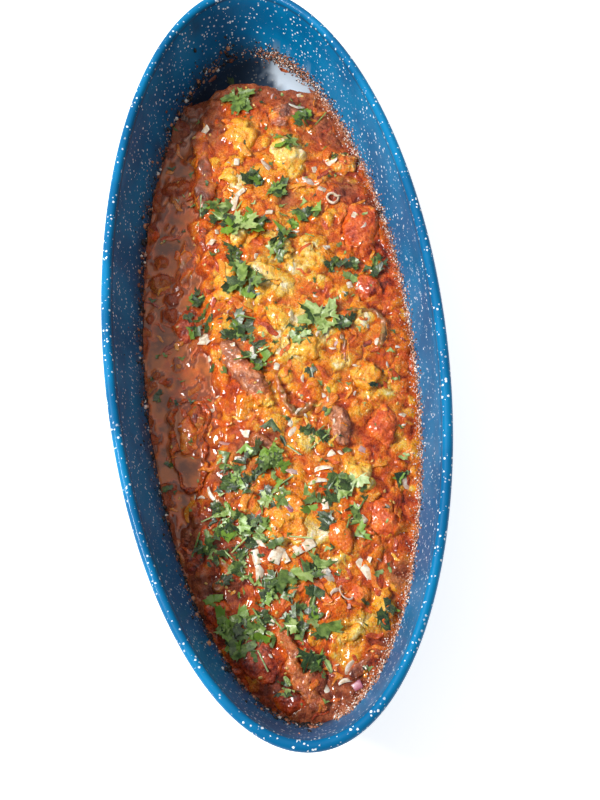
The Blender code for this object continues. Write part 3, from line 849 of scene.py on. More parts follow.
def onion_finish():
    """Raw onion: cream white with fine lines, purple at the skin of some pieces."""
    made, tree, shader = new_finish(
        "raw_onion",
        Coat_Weight=0.3,
        Coat_Roughness=0.15,
        Subsurface_Weight=0.5,
        Subsurface_Scale=0.002,
        Subsurface_Radius=(1.0, 0.9, 0.7),
        Roughness=0.32,
    )
    pulp = use_group(tree, PULP, Patch=420.0, Grain=1500.0)
    colour = blend(tree, pulp["Patches"], srgb(204, 178, 146), srgb(242, 232, 212))
    colour = blend(tree, maths(tree, "MULTIPLY", pulp["Grains"], 0.3), colour, srgb(222, 190, 160))
    colour = blend(tree, mask(tree, "purple"), colour, srgb(176, 104, 122))
    feed(tree, shader, colour, None, pulp["Height"], 0.0002, 0.5)
    return made


def leaf_finish():
    """Chopped parsley and coriander: each bit its own green."""
    made, tree, shader = new_finish(
        "chopped_leaf",
        Coat_Weight=0.25,
        Coat_Roughness=0.2,
        Subsurface_Weight=0.1,
        Subsurface_Scale=0.001,
        Subsurface_Radius=(0.5, 1.0, 0.3),
        Roughness=0.4,
    )
    pulp = use_group(tree, PULP, Patch=330.0, Grain=1500.0)
    run = tree.nodes.new("ShaderNodeValToRGB")
    uneven = maths(tree, "MULTIPLY", maths(tree, "SUBTRACT", pulp["Patches"], 0.5), 0.30)
    tree.links.new(maths(tree, "ADD", mask(tree, "tone"), uneven), run.inputs[0])
    stops = run.color_ramp.elements
    for place_at, colour in ((0.3, (62, 86, 38)), (0.55, (96, 122, 52)), (0.78, (130, 156, 72))):
        stop = stops.new(place_at)
        stop.color = srgb(*colour)
    stops[0].color = srgb(40, 54, 30)
    stops[-1].color = srgb(168, 188, 116)
    place = object_place(tree)
    # Pale vein streaks, which also serve as painted highlights on the leaves.
    veins_and_glints = add_node(tree, "ShaderNodeTexNoise", {"Vector": place, "Scale": 700.0, "Distortion": 2.0})
    colour = blend(tree, mask(tree, "lime"), run.outputs[0], srgb(118, 158, 40))
    colour = blend(tree, ramp(tree, veins_and_glints.outputs[0], 0.56, 0.66, 0.0, 0.3), colour, srgb(160, 182, 96))
    feed(tree, shader, colour, None, pulp["Height"], 0.0003, 0.6)
    return made


def crumb_finish():
    """Dried grains of the sauce on the wall: pinkish brown, some pale, some burnt."""
    made, tree, shader = new_finish("dried_grains", Roughness=0.5, Coat_Weight=0.3, Coat_Roughness=0.2)
    tone = mask(tree, "tone")
    colour = blend(tree, ramp(tree, tone, 0.2, 0.75), srgb(132, 70, 44), srgb(206, 138, 98))
    colour = blend(tree, ramp(tree, tone, 0.80, 0.84), colour, srgb(240, 232, 222))
    colour = blend(tree, mask(tree, "burnt"), colour, srgb(34, 26, 24))
    tree.links.new(colour, shader.inputs["Base Color"])
    return made


# ---- the pan ----


def pan_profile():
    """(inset, z) up the inside, over the rolled bead and down the outside to the base."""
    centre = wall_inset(SHEET)
    inner = []
    outer = []
    for step in range(13):
        turn = (math.pi / 2 - WALL_DRAFT) * step / 12
        for rows, radius in ((inner, CORNER_RADIUS), (outer, CORNER_RADIUS + SHEET)):
            rows.append((centre - radius * math.sin(turn), SHEET + CORNER_RADIUS - radius * math.cos(turn)))
    bead_z = PAN_HEIGHT - BEAD_RADIUS
    for share in (0.25, 0.5, 0.75, 0.9):
        z = inner[12][1] + (bead_z - BEAD_RADIUS - inner[12][1]) * share
        inner.append((wall_inset(z), z))
        outer.append((wall_inset(z) - SHEET, z))
    inner.append((wall_inset(bead_z - 0.0014) + 0.0001, bead_z - 0.0014))
    bead = []
    for step in range(25):
        turn = math.radians(-12 + 12.2 * step)
        bead.append((BEAD_RADIUS * (1 + math.cos(turn)), bead_z + BEAD_RADIUS * math.sin(turn)))
    under = bead_z - BEAD_RADIUS * 1.12
    outer.append((wall_inset(under) - SHEET, under))
    return inner + bead + list(reversed(outer))


def make_pan():
    """The pan's sheet, drawn out ring by ring from the middle of its floor."""
    deselect()
    profile = pan_profile()
    half_width, half_length = half_sizes(profile[0][0])
    bpy.ops.mesh.primitive_circle_add(vertices=PAN_SIDES, radius=1.0, fill_type="TRIFAN", location=(0, 0, 0))
    pan = bpy.context.object
    pan.name = "enamel_pan"
    pan.scale = (half_width, half_length, 1)
    pan.location.z = profile[0][1]
    bpy.ops.object.transform_apply(location=True, rotation=False, scale=True)
    bpy.ops.object.mode_set(mode="EDIT")
    bpy.ops.mesh.select_mode(type="EDGE")
    bpy.ops.mesh.select_all(action="SELECT")
    bpy.ops.mesh.region_to_loop()
    for (inset, z), (next_inset, next_z) in zip(profile, profile[1:]):
        was_x, was_y = half_sizes(inset)
        now_x, now_y = half_sizes(next_inset)
        bpy.ops.mesh.extrude_edges_move(TRANSFORM_OT_translate={"value": (0, 0, next_z - z)})
        bpy.ops.transform.resize(
            value=(now_x / was_x, now_y / was_y, 1), center_override=(0, 0, next_z), orient_type="GLOBAL"
        )
    bpy.ops.mesh.edge_face_add()
    bpy.ops.mesh.select_all(action="SELECT")
    bpy.ops.mesh.normals_make_consistent(inside=False)
    bpy.ops.object.mode_set(mode="OBJECT")
    bpy.ops.object.shade_smooth_by_angle(angle=math.radians(50))
    points = points_of(pan.data)
    x, y, z = points.T
    normals = normals_of(pan.data)
    inner = normals[:, 0] * x + normals[:, 1] * y < 0
    on_inside = inner | ((z < SHEET + 0.002) & (normals[:, 2] > 0))
    ragged = layered(points, 0.006, 40)
    scorch = np.zeros(len(points))
    bead_z = PAN_HEIGHT - BEAD_RADIUS
    line = np.exp(-(((z - (bead_z - 0.0005)) / 0.0006) ** 2)) * inner * 0.5
    for spot_x, spot_y, spot_z, reach in SCORCHED:
        away = np.sqrt((x - spot_x) ** 2 + (y - spot_y) ** 2 + (z - spot_z) ** 2) / reach
        scorch = np.maximum(scorch, np.clip(1.25 - away + ragged * 0.5, 0, 1) * 0.6)
    tide = np.clip(1.3 - (z - 0.020) / (0.009 + 0.006 * ragged), 0, 1) * inner * (x < 0.02) * 0.8
    tide = np.maximum(tide, np.clip(1 - (z - 0.020) / (0.004 + 0.003 * ragged), 0, 1) * inner * 0.5)
    set_mask(pan.data, "scorch", np.clip(np.maximum(np.maximum(scorch * inner, tide), line), 0, 0.9))
    # Painted glare: where the pale reflection patch lies, low in the far corner on the right.
    painted_glare = 1.15 - np.sqrt(((x - 0.026) / 0.015) ** 2 + ((z - 0.015) / 0.012) ** 2) + ragged * 0.25
    set_mask(pan.data, "painted_glare", np.clip(painted_glare * 2, 0, 1) * (y > 0.15) * on_inside * 0.85)
    return dress(pan, enamel_finish(), "enamel", "pan")


# ---- the food pieces ----


def piece_from(node, finish, slot, levels, rounds, seed, rich, folds, spread, flat=1.0, lapped=0.0):
    """A packed food solid made into its finished piece: spread out, flattened, folded and roughened."""
    obj = copy_of_node(node, node + "_piece", levels)
    points = points_of(obj.data)
    level = food_level(points[:, 0], points[:, 1])
    points[:, 2] = level + (points[:, 2] - level) * flat
    if spread:
        even = points * np.array([1, 1, 0])
        points[:, 0] += layered(even, 0.007, seed * 5 + 1, 2) * spread
        points[:, 1] += layered(even, 0.007, seed * 5 + 2, 2) * spread
    set_points(obj.data, points)
    if folds:
        points = points_of(obj.data)
        ridges = 1 - 2 * np.abs(wobble(points, 0.0075, seed * 3 + 1))
        ridges += 0.5 * (1 - 2 * np.abs(wobble(points, 0.0035, seed * 3 + 2)))
        set_points(obj.data, points + normals_of(obj.data) * (ridges * folds)[:, None])
    for i, (amount, size) in enumerate(rounds):
        ruffle(obj, amount, size, seed * 17 + i * 5)
    set_points(obj.data, kept_inside(points_of(obj.data)))
    points = points_of(obj.data)
    x, y, z = points.T
    above = z - food_level(x, y)
    sauced = np.exp(-np.maximum(above, 0) / 0.0013)
    patchy = layered(points, 0.006, seed * 11 + 3)
    set_mask(obj.data, "rich", np.clip(rich + patchy * 0.12 - sauced * (rich - 0.38) * 0.7, 0, 1))
    lap = np.clip(layered(points, 0.010, seed * 11 + 6) * 2.2 + 0.2, 0, 1) * lapped
    set_mask(obj.data, "sauced", np.clip(sauced * 1.2 + patchy * 0.4 - 0.1 + lap, 0, 1))
    # Painted shade: noise patches are marked here, and the finishes darken them as if they lay in shade.
    set_mask(obj.data, "crease_shade", np.clip(-layered(points, 0.0022, seed * 17 + 5) * 1.2 - 0.1, 0, 1))
    set_mask(obj.data, "low", np.clip(-layered(points, 0.004, seed * 17) * 1.3, 0, 1))
    return dress(obj, finish, slot, node)


EGG = saucy_finish("set_egg", 210.0, 1300.0, 0.65, 0.5, 0.0005)
TOMATO = saucy_finish("cooked_tomato", 150.0, 800.0, 0.75, 0.8, 0.0007)
PEPPER_SAUCED = saucy_finish("pepper_in_sauce", 260.0, 1300.0, 0.8, 0.6, 0.0009, 0.75)
PEPPER_BROWN = soft_food_finish(
    "pepper_brown", ((132, 58, 28), (176, 86, 40), (112, 70, 30), 0.5),
    patch=150, grain=1300, gloss=0.6, depth=0.0005, scatter=0.15, crease_shade=(96, 40, 22),
)
PEPPER_GREEN = soft_food_finish(
    "pepper_green", ((92, 74, 28), (142, 110, 42), (176, 86, 34), 0.5),
    patch=160, grain=900, gloss=0.7, depth=0.0003, scatter=0.2, crease_shade=(84, 52, 24),
)
SAUSAGE = soft_food_finish(
    "browned_sausage", ((152, 88, 58), (200, 134, 96), (208, 118, 56), 0.5),
    patch=180, grain=1500, gloss=0.6, depth=0.0009, scatter=0.15, crease_shade=(134, 62, 34),
)
SEARED = soft_food_finish(
    "seared_strip", ((150, 60, 16), (208, 102, 34), (226, 146, 78), 0.5),
    patch=260, grain=1500, gloss=0.4, depth=0.0010, scatter=0.15, crease_shade=(128, 54, 26),
)
MEAT = soft_food_finish(
    "minced_meat", ((112, 62, 46), (168, 104, 76), (184, 96, 52), 0.4),
    patch=240, grain=900, gloss=0.25, depth=0.0009, scatter=0.1, crease_shade=(64, 36, 28),
)
COOKED = saucy_finish("cooked_bits", 320.0, 1500.0, 0.55, 0.8, 0.0004)
ONION = onion_finish()

FOOD = []
EGG_NODES = {
    "egg_yolk_far": 0.72,
    "egg_curd_far": 0.88,
    "egg_curd_left": 0.80,
    "egg_dome_left": 0.74,
    "egg_curd_leaf": 0.78,
    "egg_white_long": 0.92,
    "egg_curd_middle": 0.88,
    "egg_curd_right": 0.82,
    "egg_curd_centre": 0.72,
    "egg_field": 0.80,
    "egg_chunk_right": 0.66,
    "egg_curd_bubbly": 0.84,
    "egg_grains": 0.58,
    "egg_curd_near": 0.80,
    "egg_crumbs_near": 0.80,
}
for number, (node, rich) in enumerate(EGG_NODES.items()):
    rounds = ((0.0010, 0.007), (0.00025, 0.0022))
    FOOD.append(piece_from(node, EGG, "egg", 3, rounds, number, rich, 0.0008, 0.0026, 0.66))
TOMATO_NODES = {
    "tomato_pool": 0.24,
    "tomato_loop": 0.44,
    "tomato_seeded": 0.50,
    "tomato_dome": 0.30,
    "tomato_far_right": 0.30,
    "tomato_right": 0.34,
    "tomato_near_right": 0.32,
    "tomato_chunk": 0.46,
    "tomato_peeled": 0.42,
    "tomato_flat": 0.15,
    "tomato_last": 0.18,
    "tomato_near_left": 0.26,
    "tomato_left": 0.28,
}
for number, (node, rich) in enumerate(TOMATO_NODES.items()):
    rounds = ((0.0009, 0.008), (0.00025, 0.002))
    FOOD.append(piece_from(node, TOMATO, "tomato", 3, rounds, 40 + number, rich, 0.0005, 0.0018, 0.72))
PEPPER_NODES = {
    "pepper_long": PEPPER_BROWN,
    "pepper_curled": PEPPER_SAUCED,
    "pepper_olive": PEPPER_GREEN,
    "pepper_loop": PEPPER_SAUCED,
    "pepper_hook": PEPPER_GREEN,
    "pepper_arch": PEPPER_GREEN,
    "pepper_arc": PEPPER_GREEN,
    "pepper_left": PEPPER_GREEN,
    "pepper_near": SEARED,
    "pepper_near_right": PEPPER_BROWN,
}
for number, (node, finish) in enumerate(PEPPER_NODES.items()):
    rounds = ((0.0008, 0.005), (0.0003, 0.0016))
    FOOD.append(piece_from(node, finish, "pepper", 3, rounds, 70 + number, 0.34, 0.0003, 0.0022, 0.7, 0.35))
SAUSAGE_NODES = {
    "sausage_long": SAUSAGE,
    "sausage_short": SAUSAGE,
    "sausage_piece": SAUSAGE,
    "meat_far": MEAT,
}


def crumble_cut_end(piece):
    """Breaks up the near end of the long sausage, where it is cut and coated in egg and sauce."""
    points = points_of(piece.data)
    end = np.clip(1.4 - np.hypot(points[:, 0] + 0.006, points[:, 1] + 0.034) / 0.008, 0, 1)
    sauced = np.clip(layered(points, 0.010, 96) * 1.6 + 0.25, 0, 1)
    set_mask(piece.data, "rich", 0.40 + 0.28 * end)
    set_mask(piece.data, "sauced", np.maximum(np.clip(end * 1.5, 0, 1), sauced))
    ruffle(piece, 0.0007, 0.0018, 95, end)


for number, (node, finish) in enumerate(SAUSAGE_NODES.items()):
    rounds = ((0.0009, 0.008), (0.0005, 0.0026), (0.00025, 0.0012))
    FOOD.append(piece_from(node, finish, "sausage", 4, rounds, 90 + number, 0.42, 0.0002, 0.0016, 0.78, 0.9))
crumble_cut_end(FOOD[-len(SAUSAGE_NODES)])
ring = piece_from("onion_ring_far", ONION, "onion", 3, ((0.00025, 0.003),), 110, 0.5, 0.0, 0.0006)
set_mask(ring.data, "purple", np.zeros(len(ring.data.vertices)))
FOOD.append(ring)


# ---- the stew and the juice ----


def oval_sheet(name, across, along, inset):
    """A grid pressed into the pan's oval."""
    deselect()
    bpy.ops.mesh.primitive_grid_add(x_subdivisions=across, y_subdivisions=along, size=2.0, location=(0, 0, 0))
    sheet = bpy.context.object
    sheet.name = name
    points = points_of(sheet.data)
    u, v = points[:, 0].copy(), points[:, 1].copy()
    half_width, half_length = half_sizes(inset)
    points[:, 0] = u * np.sqrt(1 - v**2 / 2) * half_width
    points[:, 1] = v * np.sqrt(1 - u**2 / 2) * half_length
    set_points(sheet.data, points)
    smooth_shade(sheet)
    return sheet


def lumps(x, y, how_many, seed):
    """(height, tint) of a layer of round-topped lumps pushed against each other."""
    chance = random.Random(seed)
    half_width, half_length = half_sizes(FILL_INSET)
    bent = flat_points(x, y)
    warp_x = x + wobble(bent, 0.005, seed) * 0.0013
    warp_y = y + wobble(bent, 0.005, seed + 1) * 0.0013
    height = np.zeros(len(x))
    tint = np.full(len(x), 0.4)
    for _ in range(how_many):
        radius = min(max(chance.lognormvariate(math.log(0.0034), 0.38), 0.0016), 0.0075)
        centre_x = chance.uniform(-half_width, half_width)
        centre_y = chance.uniform(-half_length, half_length)
        turn = chance.uniform(0, math.pi)
        stretch = chance.uniform(0.6, 1.0)
        tall = radius * chance.uniform(0.22, 0.42)
        shade = chance.random()
        near = np.nonzero((abs(warp_x - centre_x) < radius) & (abs(warp_y - centre_y) < radius))[0]
        if not len(near):
            continue
        off_x = warp_x[near] - centre_x
        off_y = warp_y[near] - centre_y
        along = off_x * math.cos(turn) + off_y * math.sin(turn)
        across = (off_y * math.cos(turn) - off_x * math.sin(turn)) / stretch
        inside = 1 - (along**2 + across**2) / radius**2
        rise = np.where(inside > 0, np.sqrt(np.maximum(inside, 0)) * tall, 0)
        higher = rise > height[near]
        height[near[higher]] = rise[higher]
        tint[near[higher]] = shade
    return height, tint


def distance_to(x, y, marked):
    """Distance from each point to the nearest marked one."""
    spots = np.nonzero(marked)[0]
    tree = KDTree(len(spots))
    for i in spots:
        tree.insert((x[i], y[i], 0), int(i))
    tree.balance()
    return np.array([tree.find((x[i], y[i], 0))[2] for i in range(len(x))])


def blurred(values, across, along, rounds):
    """Values on the sheet's grid, each averaged with its neighbours again and again."""
    field = values.reshape(along + 1, across + 1).copy()
    for _ in range(rounds):
        wide = np.pad(field, 1, mode="edge")
        field = (wide[:-2, 1:-1] + wide[2:, 1:-1] + wide[1:-1, :-2] + wide[1:-1, 2:] + 2 * field) / 6
    return field.ravel()


def make_stew():
    """The stew's whole surface, running on under the juice, with sauce drawn up round every piece."""
    across, along = 236, 368
    sheet = oval_sheet("stew_surface", across, along, FILL_INSET - WALL_BITE)
    points = points_of(sheet.data)
    x, y, _ = points.T
    flat = flat_points(x, y)
    bumps, tint = lumps(x, y, 1700, 7)
    fine, fine_tint = lumps(x, y, 6500, 8)
    to_wall = (1 - share_out(x, y, FILL_INSET)) * half_sizes(FILL_INSET)[0]
    edge = np.clip(to_wall / 0.004, 0, 1)
    fold = 1 - 2 * np.abs(wobble(flat, 0.0045, 60))
    z = heap_z(x, y) - 0.0012 + bumps * (0.35 + 0.65 * edge) + fine * 0.40 + fold * 0.00035
    z += layered(flat, 0.020, 3) * 0.0010 + layered(flat, 0.0022, 61, 2) * 0.00022
    pool = np.clip((shore_x(y) - x) / 0.006 + 0.6 + wobble(flat, 0.007, 5) * 0.7, 0, 1)
    pool *= (y < 0.186) & (y > -0.106)
    pool_floor = JUICE_LEVEL - 0.0023 + bumps * 1.45 + fine * 0.45 + layered(flat, 0.012, 6) * 0.0017
    bank = np.exp(-np.maximum(to_wall, 0) / 0.0022) * np.clip(0.8 + layered(flat, 0.008, 64, 3) * 0.9, 0, 2)
    z = z * (1 - pool) + (pool_floor + bank * 0.0042) * pool
    tops = tops_in(search_tree(*FOOD), x, y)
    covered = tops > 0
    away = distance_to(x, y, covered)
    inside = distance_to(x, y, ~covered)
    climb = np.exp(-away / 0.0014) * 0.0009 * (1 - pool)
    lap = np.clip(1 - inside / (0.0011 + 0.0009 * wobble(flat, 0.004, 62)), 0, 1) * (1 - pool)
    under = np.where(lap > 0.2, tops + 0.0003 * lap, np.minimum(z, tops - 0.0006))
    z = np.where(covered, np.minimum(under, np.maximum(z + 0.0016, tops - 0.0006)), z + climb)
    z = np.minimum(z, FILL_HEIGHT + HEAP_RISE + 0.0050)
    z = np.where(edge < 0.05, np.minimum(z, FILL_HEIGHT + 0.0009), z)
    bare = past_far_edge(x, y)
    z = z * (1 - bare) + below_pan(x, y) * bare
    points[:, 2] = z
    set_points(sheet.data, points)
    hollow = (blurred(z, across, along, 6) - z) / 0.00045
    broad_hollow = (blurred(z, across, along, 40) - z) / 0.0012
    egg = near_spots(x, y, EGG_SPOTS, 20)
    middle = np.clip(1 - np.abs(x - 0.012) / 0.045, 0, 1) * np.clip((y + 0.125) / 0.03, 0, 1)
    middle *= np.clip((0.135 - y) / 0.03, 0, 1)
    rich = 0.405 + 0.20 * (tint - 0.5) + 0.07 * (fine_tint - 0.5) + 0.14 * middle
    rich += 0.07 * layered(flat, 0.014, 23, 2)
    rich += np.clip((egg - 0.30) * 1.6, 0, 1) * 0.34
    # Lower richness reads darker and redder: in broad hollows and in the shaded lower left this is painted
    # shade.
    rich -= 0.20 * near_spots(x, y, RED_SPOTS, 30) + 0.07 * np.clip(broad_hollow, -1, 1.5) + 0.06 * pool
    rich += 0.18 * np.clip((tint - 0.80) * 6, 0, 1) * np.clip(0.6 + wobble(flat, 0.03, 22), 0, 1)
    shaded = np.clip((-0.010 - x) / 0.018, 0, 1) * np.clip((-0.060 - y) / 0.030, 0, 1)
    shaded = np.maximum(shaded, np.clip((-0.166 - y) / 0.012, 0, 1) * 0.8)
    rich -= 0.11 * shaded
    rich = np.where(y > 0.150, np.minimum(rich, 0.36), rich)
    set_mask(sheet.data, "rich", np.clip(rich, 0.05, 0.95))
    # Painted shade: points lying below their neighbours, and the pool's edge by the wall, darkened as if in
    # shade.
    set_mask(sheet.data, "crease_shade", np.clip(hollow * 0.60 + broad_hollow * 0.30 + pool * bank * 0.4, 0, 1))
    # Brown: browned spots, the far end, the upper-left shore and the pool, most by the wall; the shaded
    # lower-left term adds painted shade.
    brown = near_spots(x, y, BROWN_SPOTS, 34) + np.clip((y - 0.160) / 0.012, 0, 0.7)
    brown += shaded * np.clip(0.35 + layered(flat, 0.012, 24, 2) * 0.5, 0, 0.8)
    shore_side = np.clip((-0.014 - x + wobble(flat, 0.008, 25) * 0.005) / 0.008, 0, 1)
    brown += np.clip((y - 0.128) / 0.016, 0, 1) * shore_side
    set_mask(sheet.data, "brown", np.clip(brown + pool * (0.2 + bank * 0.7), 0, 1))
    set_mask(sheet.data, "pool", pool)
    close_below(sheet)
    smooth_shade(sheet)
    return dress(sheet, stew_finish(), "stew", "stew")


def close_below(sheet):
    """Closes the stew's sheet with rings that follow the pan's rounded corner to a flat underside."""
    build = bmesh.new()
    build.from_mesh(sheet.data)
    centre = wall_inset(SHEET)
    reach = CORNER_RADIUS + 0.0012
    was_x, was_y = half_sizes(FILL_INSET - WALL_BITE)
    for step in range(6):
        turn = (math.pi / 2 - WALL_DRAFT) * (1 - step / 5)
        now_x, now_y = half_sizes(centre - reach * math.sin(turn))
        rim = [edge for edge in build.edges if edge.is_boundary]
        extruded = bmesh.ops.extrude_edge_only(build, edges=rim)["geom"]
        lowered = [part for part in extruded if isinstance(part, bmesh.types.BMVert)]
        for vert in lowered:
            vert.co.x *= now_x / was_x
            vert.co.y *= now_y / was_y
            vert.co.z = SHEET + CORNER_RADIUS - reach * math.cos(turn)
        was_x, was_y = now_x, now_y
    build.faces.new(ring_order(lowered))
    bmesh.ops.recalc_face_normals(build, faces=build.faces)
    build.to_mesh(sheet.data)
    build.free()


def ring_order(verts):
    """Boundary points in order round their loop."""
    chosen = set(verts)
    start = verts[0]
    order = [start]
    seen = {start}
    while True:
        beside = [edge.other_vert(order[-1]) for edge in order[-1].link_edges]
        following = [vert for vert in beside if vert in chosen and vert not in seen]
        if not following:
            return order
        order.append(following[0])
        seen.add(following[0])


def make_juice(stew):
    """The pool's glossy top, drawn up a little where it meets the wall, the stew and the pieces in it."""
    sheet = oval_sheet("juice_surface", 200, 300, FILL_INSET + 0.0002)
    points = points_of(sheet.data)
    x, y, _ = points.T
    flat = flat_points(x, y)
    under = tops_in(search_tree(stew), x, y, FILL_HEIGHT - 0.004)
    solid = np.maximum(under, tops_in(search_tree(*FOOD), x, y))
    wet = (x < shore_x(y) + 0.012) & (y < 0.190) & (y > -0.112)
    away = distance_to(x, y, solid > JUICE_LEVEL)
    to_wall = np.maximum(1 - share_out(x, y, FILL_INSET), 0) * half_sizes(FILL_INSET)[0]
    meniscus = 0.00055 * np.exp(-away / 0.0007) + 0.0009 * np.exp(-to_wall / 0.0010)
    ripple = layered(flat, 0.014, 50) * 0.00022
    bare = past_far_edge(x, y)
    points[:, 2] = (JUICE_LEVEL + meniscus + ripple) * (1 - bare) + below_pan(x, y) * bare
    set_points(sheet.data, points)
    set_mask(sheet.data, "deep", np.clip((JUICE_LEVEL - solid) / 0.0016, 0, 1))
    # Painted highlight lines a little way out from each piece, and painted shade right at its edge.
    lines = np.exp(-(((away - 0.0006) / 0.0004) ** 2)) * np.clip(0.5 + wobble(flat, 0.01, 52), 0, 1)
    set_mask(sheet.data, "edge", lines * 0.6)
    set_mask(sheet.data, "outline_shade", np.exp(-((away / 0.0005) ** 2)) * 0.75)
    far = (y - 0.125) / 0.05 + wobble(flat, 0.01, 51) * 0.3
    set_mask(sheet.data, "far", np.clip(far, 0, 0.85))
    hidden = ~wet | (solid > JUICE_LEVEL + 0.0016)
    build = bmesh.new()
    build.from_mesh(sheet.data)
    build.verts.ensure_lookup_table()
    gone = [f for f in build.faces if all(hidden[v.index] for v in f.verts)]
    bmesh.ops.delete(build, geom=gone, context="FACES")
    build.to_mesh(sheet.data)
    build.free()
    thicken = sheet.modifiers.new("thicken", "SOLIDIFY")
    thicken.thickness = 0.0006
    thicken.offset = -1
    apply_modifiers(sheet)
    smooth_shade(sheet)
    return dress(sheet, juice_finish(), "juice", "juice")


PAN = make_pan()
STEW = make_stew()
JUICE = make_juice(STEW)
ground = Ground()
ground.add(STEW)
ground.add(JUICE)
ground.add(*FOOD)


# ---- toppings ----

# Places in the list of leaf forms
WHOLE_LEAVES = (0, 1, 2)
CUT_BITS = (3, 4, 5)
SHRED = 6
SPRIG = 7
STEM = 8


def fan_leaf(lobes, depth, teeth, spread, width=1.0):
    """A flat leaf one unit long whose edge runs out into toothed lobes, from its stalk at -Y."""
    deselect()
    bpy.ops.mesh.primitive_grid_add(x_subdivisions=18, y_subdivisions=2, size=2.0, location=(0, 0, 0))
    leaf = bpy.context.object
    points = points_of(leaf.data)
    turn = points[:, 0] * math.radians(spread)
    out = (points[:, 1] + 1) / 2
    lobe = np.abs(np.cos(turn * lobes / 2))
    in_and_out = np.where(np.round((points[:, 0] + 1) * 9) % 2 == 0, 1.0, -1.0)
    reach = (1 - depth) + depth * lobe**1.9 + teeth * in_and_out * out
    reach *= 1 - 0.28 * np.abs(points[:, 0])
    along = out * reach
    points[:, 0] = np.sin(turn) * along * 0.78 * width
    points[:, 1] = np.cos(turn) * along - 0.45
    points[:, 2] = out * (0.07 * lobe + 0.03 * np.sin(turn * 5)) - 0.10 * (np.abs(points[:, 0]) < 0.08)
    set_points(leaf.data, points)
    merge = leaf.modifiers.new("merge", "WELD")
    merge.merge_threshold = 0.001
    thick = leaf.modifiers.new("thick", "SOLIDIFY")
    thick.thickness = 0.012
    apply_modifiers(leaf)
    return leaf


def cut_leaf(leaf, place, normal):
    """A leaflet with everything past a plane chopped off."""
    bpy.context.view_layer.objects.active = leaf
    deselect()
    leaf.select_set(True)
    bpy.ops.object.mode_set(mode="EDIT")
    bpy.ops.mesh.select_all(action="SELECT")
    bpy.ops.mesh.bisect(plane_co=place, plane_no=normal, use_fill=True, clear_outer=True)
    bpy.ops.object.mode_set(mode="OBJECT")
    return leaf


def herb_templates():
    """Leaf bits about one unit long: whole leaves, knife-cut bits, shreds, a sprig and a stem."""
    three = template_from(fan_leaf(3, 0.52, 0.10, 105))
    five = template_from(fan_leaf(5, 0.38, 0.12, 120))
    slim = template_from(fan_leaf(3, 0.60, 0.08, 60, 0.8))
    half = template_from(cut_leaf(fan_leaf(5, 0.38, 0.12, 120, 1.2), (0, 0.05, 0), (0.3, 1, 0)))
    corner = template_from(cut_leaf(fan_leaf(3, 0.50, 0.10, 110, 1.3), (0.06, 0, 0), (-1, 0.35, 0)))
    tip = template_from(cut_leaf(fan_leaf(5, 0.40, 0.12, 100, 1.1), (0, -0.05, 0), (0.2, -1, 0)))
    shred = template_from(fan_leaf(1, 0.20, 0.06, 14, 1.0))
    sprig_points = []
    sprig_faces = []
    points, faces = three
    for turn, size, shift in ((-75, 0.5, -0.12), (-20, 0.62, 0.1), (28, 0.6, 0.12), (80, 0.5, -0.1)):
        start = len(points) * len(sprig_points)
        moved = points * size + np.array([0, 0.30, 0])
        sprig_points.append(moved @ turned(math.radians(turn)).T + np.array([0, shift - 0.2, 0]))
        sprig_faces += [tuple(start + v for v in face) for face in faces]
    sprig = (np.concatenate(sprig_points), sprig_faces)
    deselect()
    bpy.ops.mesh.primitive_cylinder_add(vertices=6, radius=0.045, depth=1.0, rotation=(math.pi / 2, 0, 0))
    bpy.ops.object.transform_apply(location=True, rotation=True, scale=True)
    stem = template_from(bpy.context.object)
    return [three, five, slim, half, corner, tip, shred, sprig, stem]


def lay_copies(templates, plans, name, drape, thick):
    """Joins copies laid on the food. A plan is (template, x, y, turn, tilt, roll, size, bend, masks)."""
    all_copies = []
    bends = []
    for index, x, y, turn, tilt, roll, size, bend, masks in plans:
        found = ground.drop(x, y)
        if not found:
            continue
        height, normal = found
        all_copies.append((index, turned(turn, tilt, roll, size), (x, y, height), masks))
        bends.append((bend, turn, float(np.max(np.broadcast_to(size, 3))), normal))
    points, corners, counts, masks = joined(templates, all_copies)
    start = 0
    for (index, _, place, _), (bend, turn, size, normal) in zip(all_copies, bends):
        count = len(templates[index][0])
        bit = points[start : start + count]
        off = bit - np.array(place)
        lean = np.clip([-normal.x / max(normal.z, 0.3), -normal.y / max(normal.z, 0.3)], -0.8, 0.8)
        along = (off[:, 0] * math.cos(turn) + off[:, 1] * math.sin(turn)) / size
        bit[:, 2] += off[:, 0] * lean[0] + off[:, 1] * lean[1] + bend * along**2 * size
        lowest = 0.0
        if drape:
            gaps = []
            for vert in bit:
                under = ground.drop(vert[0], vert[1])
                gaps.append(vert[2] - (under[0] if under else vert[2]))
            gaps = np.array(gaps)
            bit[:, 2] -= gaps * drape
            lowest = (gaps * (1 - drape)).min()
        bit[:, 2] += thick - min(lowest, 0) * 0.7
        bit[:] = kept_inside(bit)
        start += count
    return raise_mesh(name, points, corners, counts, masks)


